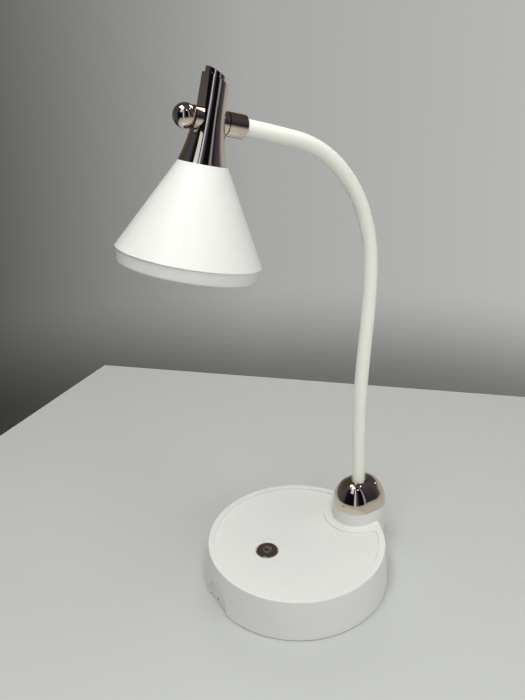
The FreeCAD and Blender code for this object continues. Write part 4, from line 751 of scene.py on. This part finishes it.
headRoute = (  # mm across, toward the ball and up the stem, from the pivot
    (0, -6.0, 0), (0, -3.05, 0), (0, 0, 0), (0, 0, -3.05), (0, 0, -18), (0, 0, -39.7), (3.6, 0, -52.8),
    (3.6, 0, -59.0), (3.6, 0, -65.7),
)


def makeLead():
    leadRun("baseLead", [mm(*place) for place in baseRoute], body="base")
    up = Vector((0, bar.z, -bar.y))
    places = [pivot + Vector((mm(x), 0, 0)) + bar * mm(y) + up * mm(z) for x, y, z in headRoute]
    headLead = leadRun("headLead", places)
    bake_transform(headLead)
    makeNeckLead()


makeSleeve()
makeLead()
print("neck and lead ready")


# The power mark, two rounded ridges on the crown of the button

powerMark = dict(  # mm
    radius=2.9,
    ridge=0.5,  # radius of the ridge
    sunk=0.2,
    opening=80,  # degrees left open toward the rear
    barFrom=0.6,
    barTo=3.9,
    sides=12,
    steps=40,
    rounding=((0.6, 0.8), (0.3, 0.55)),  # each end: shares of the step, and sizes of the ring after it
    nearEnd=1.3,  # radii from an end within which its edges lie
)


def ridgeStart(name, place, turn):
    bpy.ops.object.select_all(action="DESELECT")
    bpy.ops.mesh.primitive_circle_add(
        vertices=powerMark["sides"],
        radius=mm(powerMark["ridge"]),
        fill_type="NOTHING",
        location=place,
        rotation=turn,
    )
    ridge = bpy.context.object
    ridge.name = name
    bpy.ops.object.transform_apply(location=True, rotation=True, scale=True)
    editMode(ridge)
    bpy.ops.mesh.select_all(action="SELECT")
    return ridge


def roundOff(step):  # the last ring drawn in twice along step, then closed
    for share, size in powerMark["rounding"]:
        bpy.ops.mesh.extrude_region_move(TRANSFORM_OT_translate={"value": step * share})
        bpy.ops.transform.resize(value=(size, size, size))
    bpy.ops.mesh.edge_face_add()


def openRing(ridge, place):  # selects the ring of open edges nearest a place
    reach = mm(powerMark["ridge"] * powerMark["nearEnd"])
    bpy.ops.mesh.select_all(action="DESELECT")
    bpy.ops.mesh.select_non_manifold(extend=False)
    bpy.ops.object.mode_set(mode="OBJECT")
    points = ridge.data.vertices
    for edge in ridge.data.edges:
        middle = (points[edge.vertices[0]].co + points[edge.vertices[1]].co) / 2
        if (middle - place).length > reach:
            edge.select = False
    for vertex in points:
        if (vertex.co - place).length > reach:
            vertex.select = False
    bpy.ops.object.mode_set(mode="EDIT")


def makePowerMark():
    low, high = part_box("power_button")
    top = Vector((0, (low.y + high.y) / 2, high.z - mm(powerMark["sunk"])))
    half = math.radians(powerMark["opening"] / 2)
    reach = mm(powerMark["radius"])
    tip = mm(powerMark["ridge"])
    ends = []
    for side in (1, -1):
        out = Vector((math.sin(half) * side, math.cos(half), 0))
        ends.append((top + out * reach, Vector((-out.y * side, out.x * side, 0)) * tip))
    arc = ridgeStart("powerMarkArc", ends[0][0], (math.pi / 2, 0, -half + math.pi / 2))
    bpy.ops.mesh.spin(
        steps=powerMark["steps"], angle=2 * math.pi - 2 * half, center=top, axis=(0, 0, 1)
    )
    for place, step in ends:
        openRing(arc, place)
        roundOff(step)
    closeUp()
    finishPiece(arc, "chrome_plate", body="button", finish="power_mark")
    start = top + Vector((0, mm(powerMark["barFrom"]), 0))
    stop = top + Vector((0, mm(powerMark["barTo"]), 0))
    stroke = ridgeStart("powerMarkBar", start, (math.pi / 2, 0, 0))
    bpy.ops.mesh.extrude_region_move(TRANSFORM_OT_translate={"value": stop - start})
    for place, step in ((start, Vector((0, -tip, 0))), (stop, Vector((0, tip, 0)))):
        openRing(stroke, place)
        roundOff(step)
    closeUp()
    finishPiece(stroke, "chrome_plate", body="button", finish="power_mark")


makePowerMark()
print("power mark ready")


print("pieces ready")
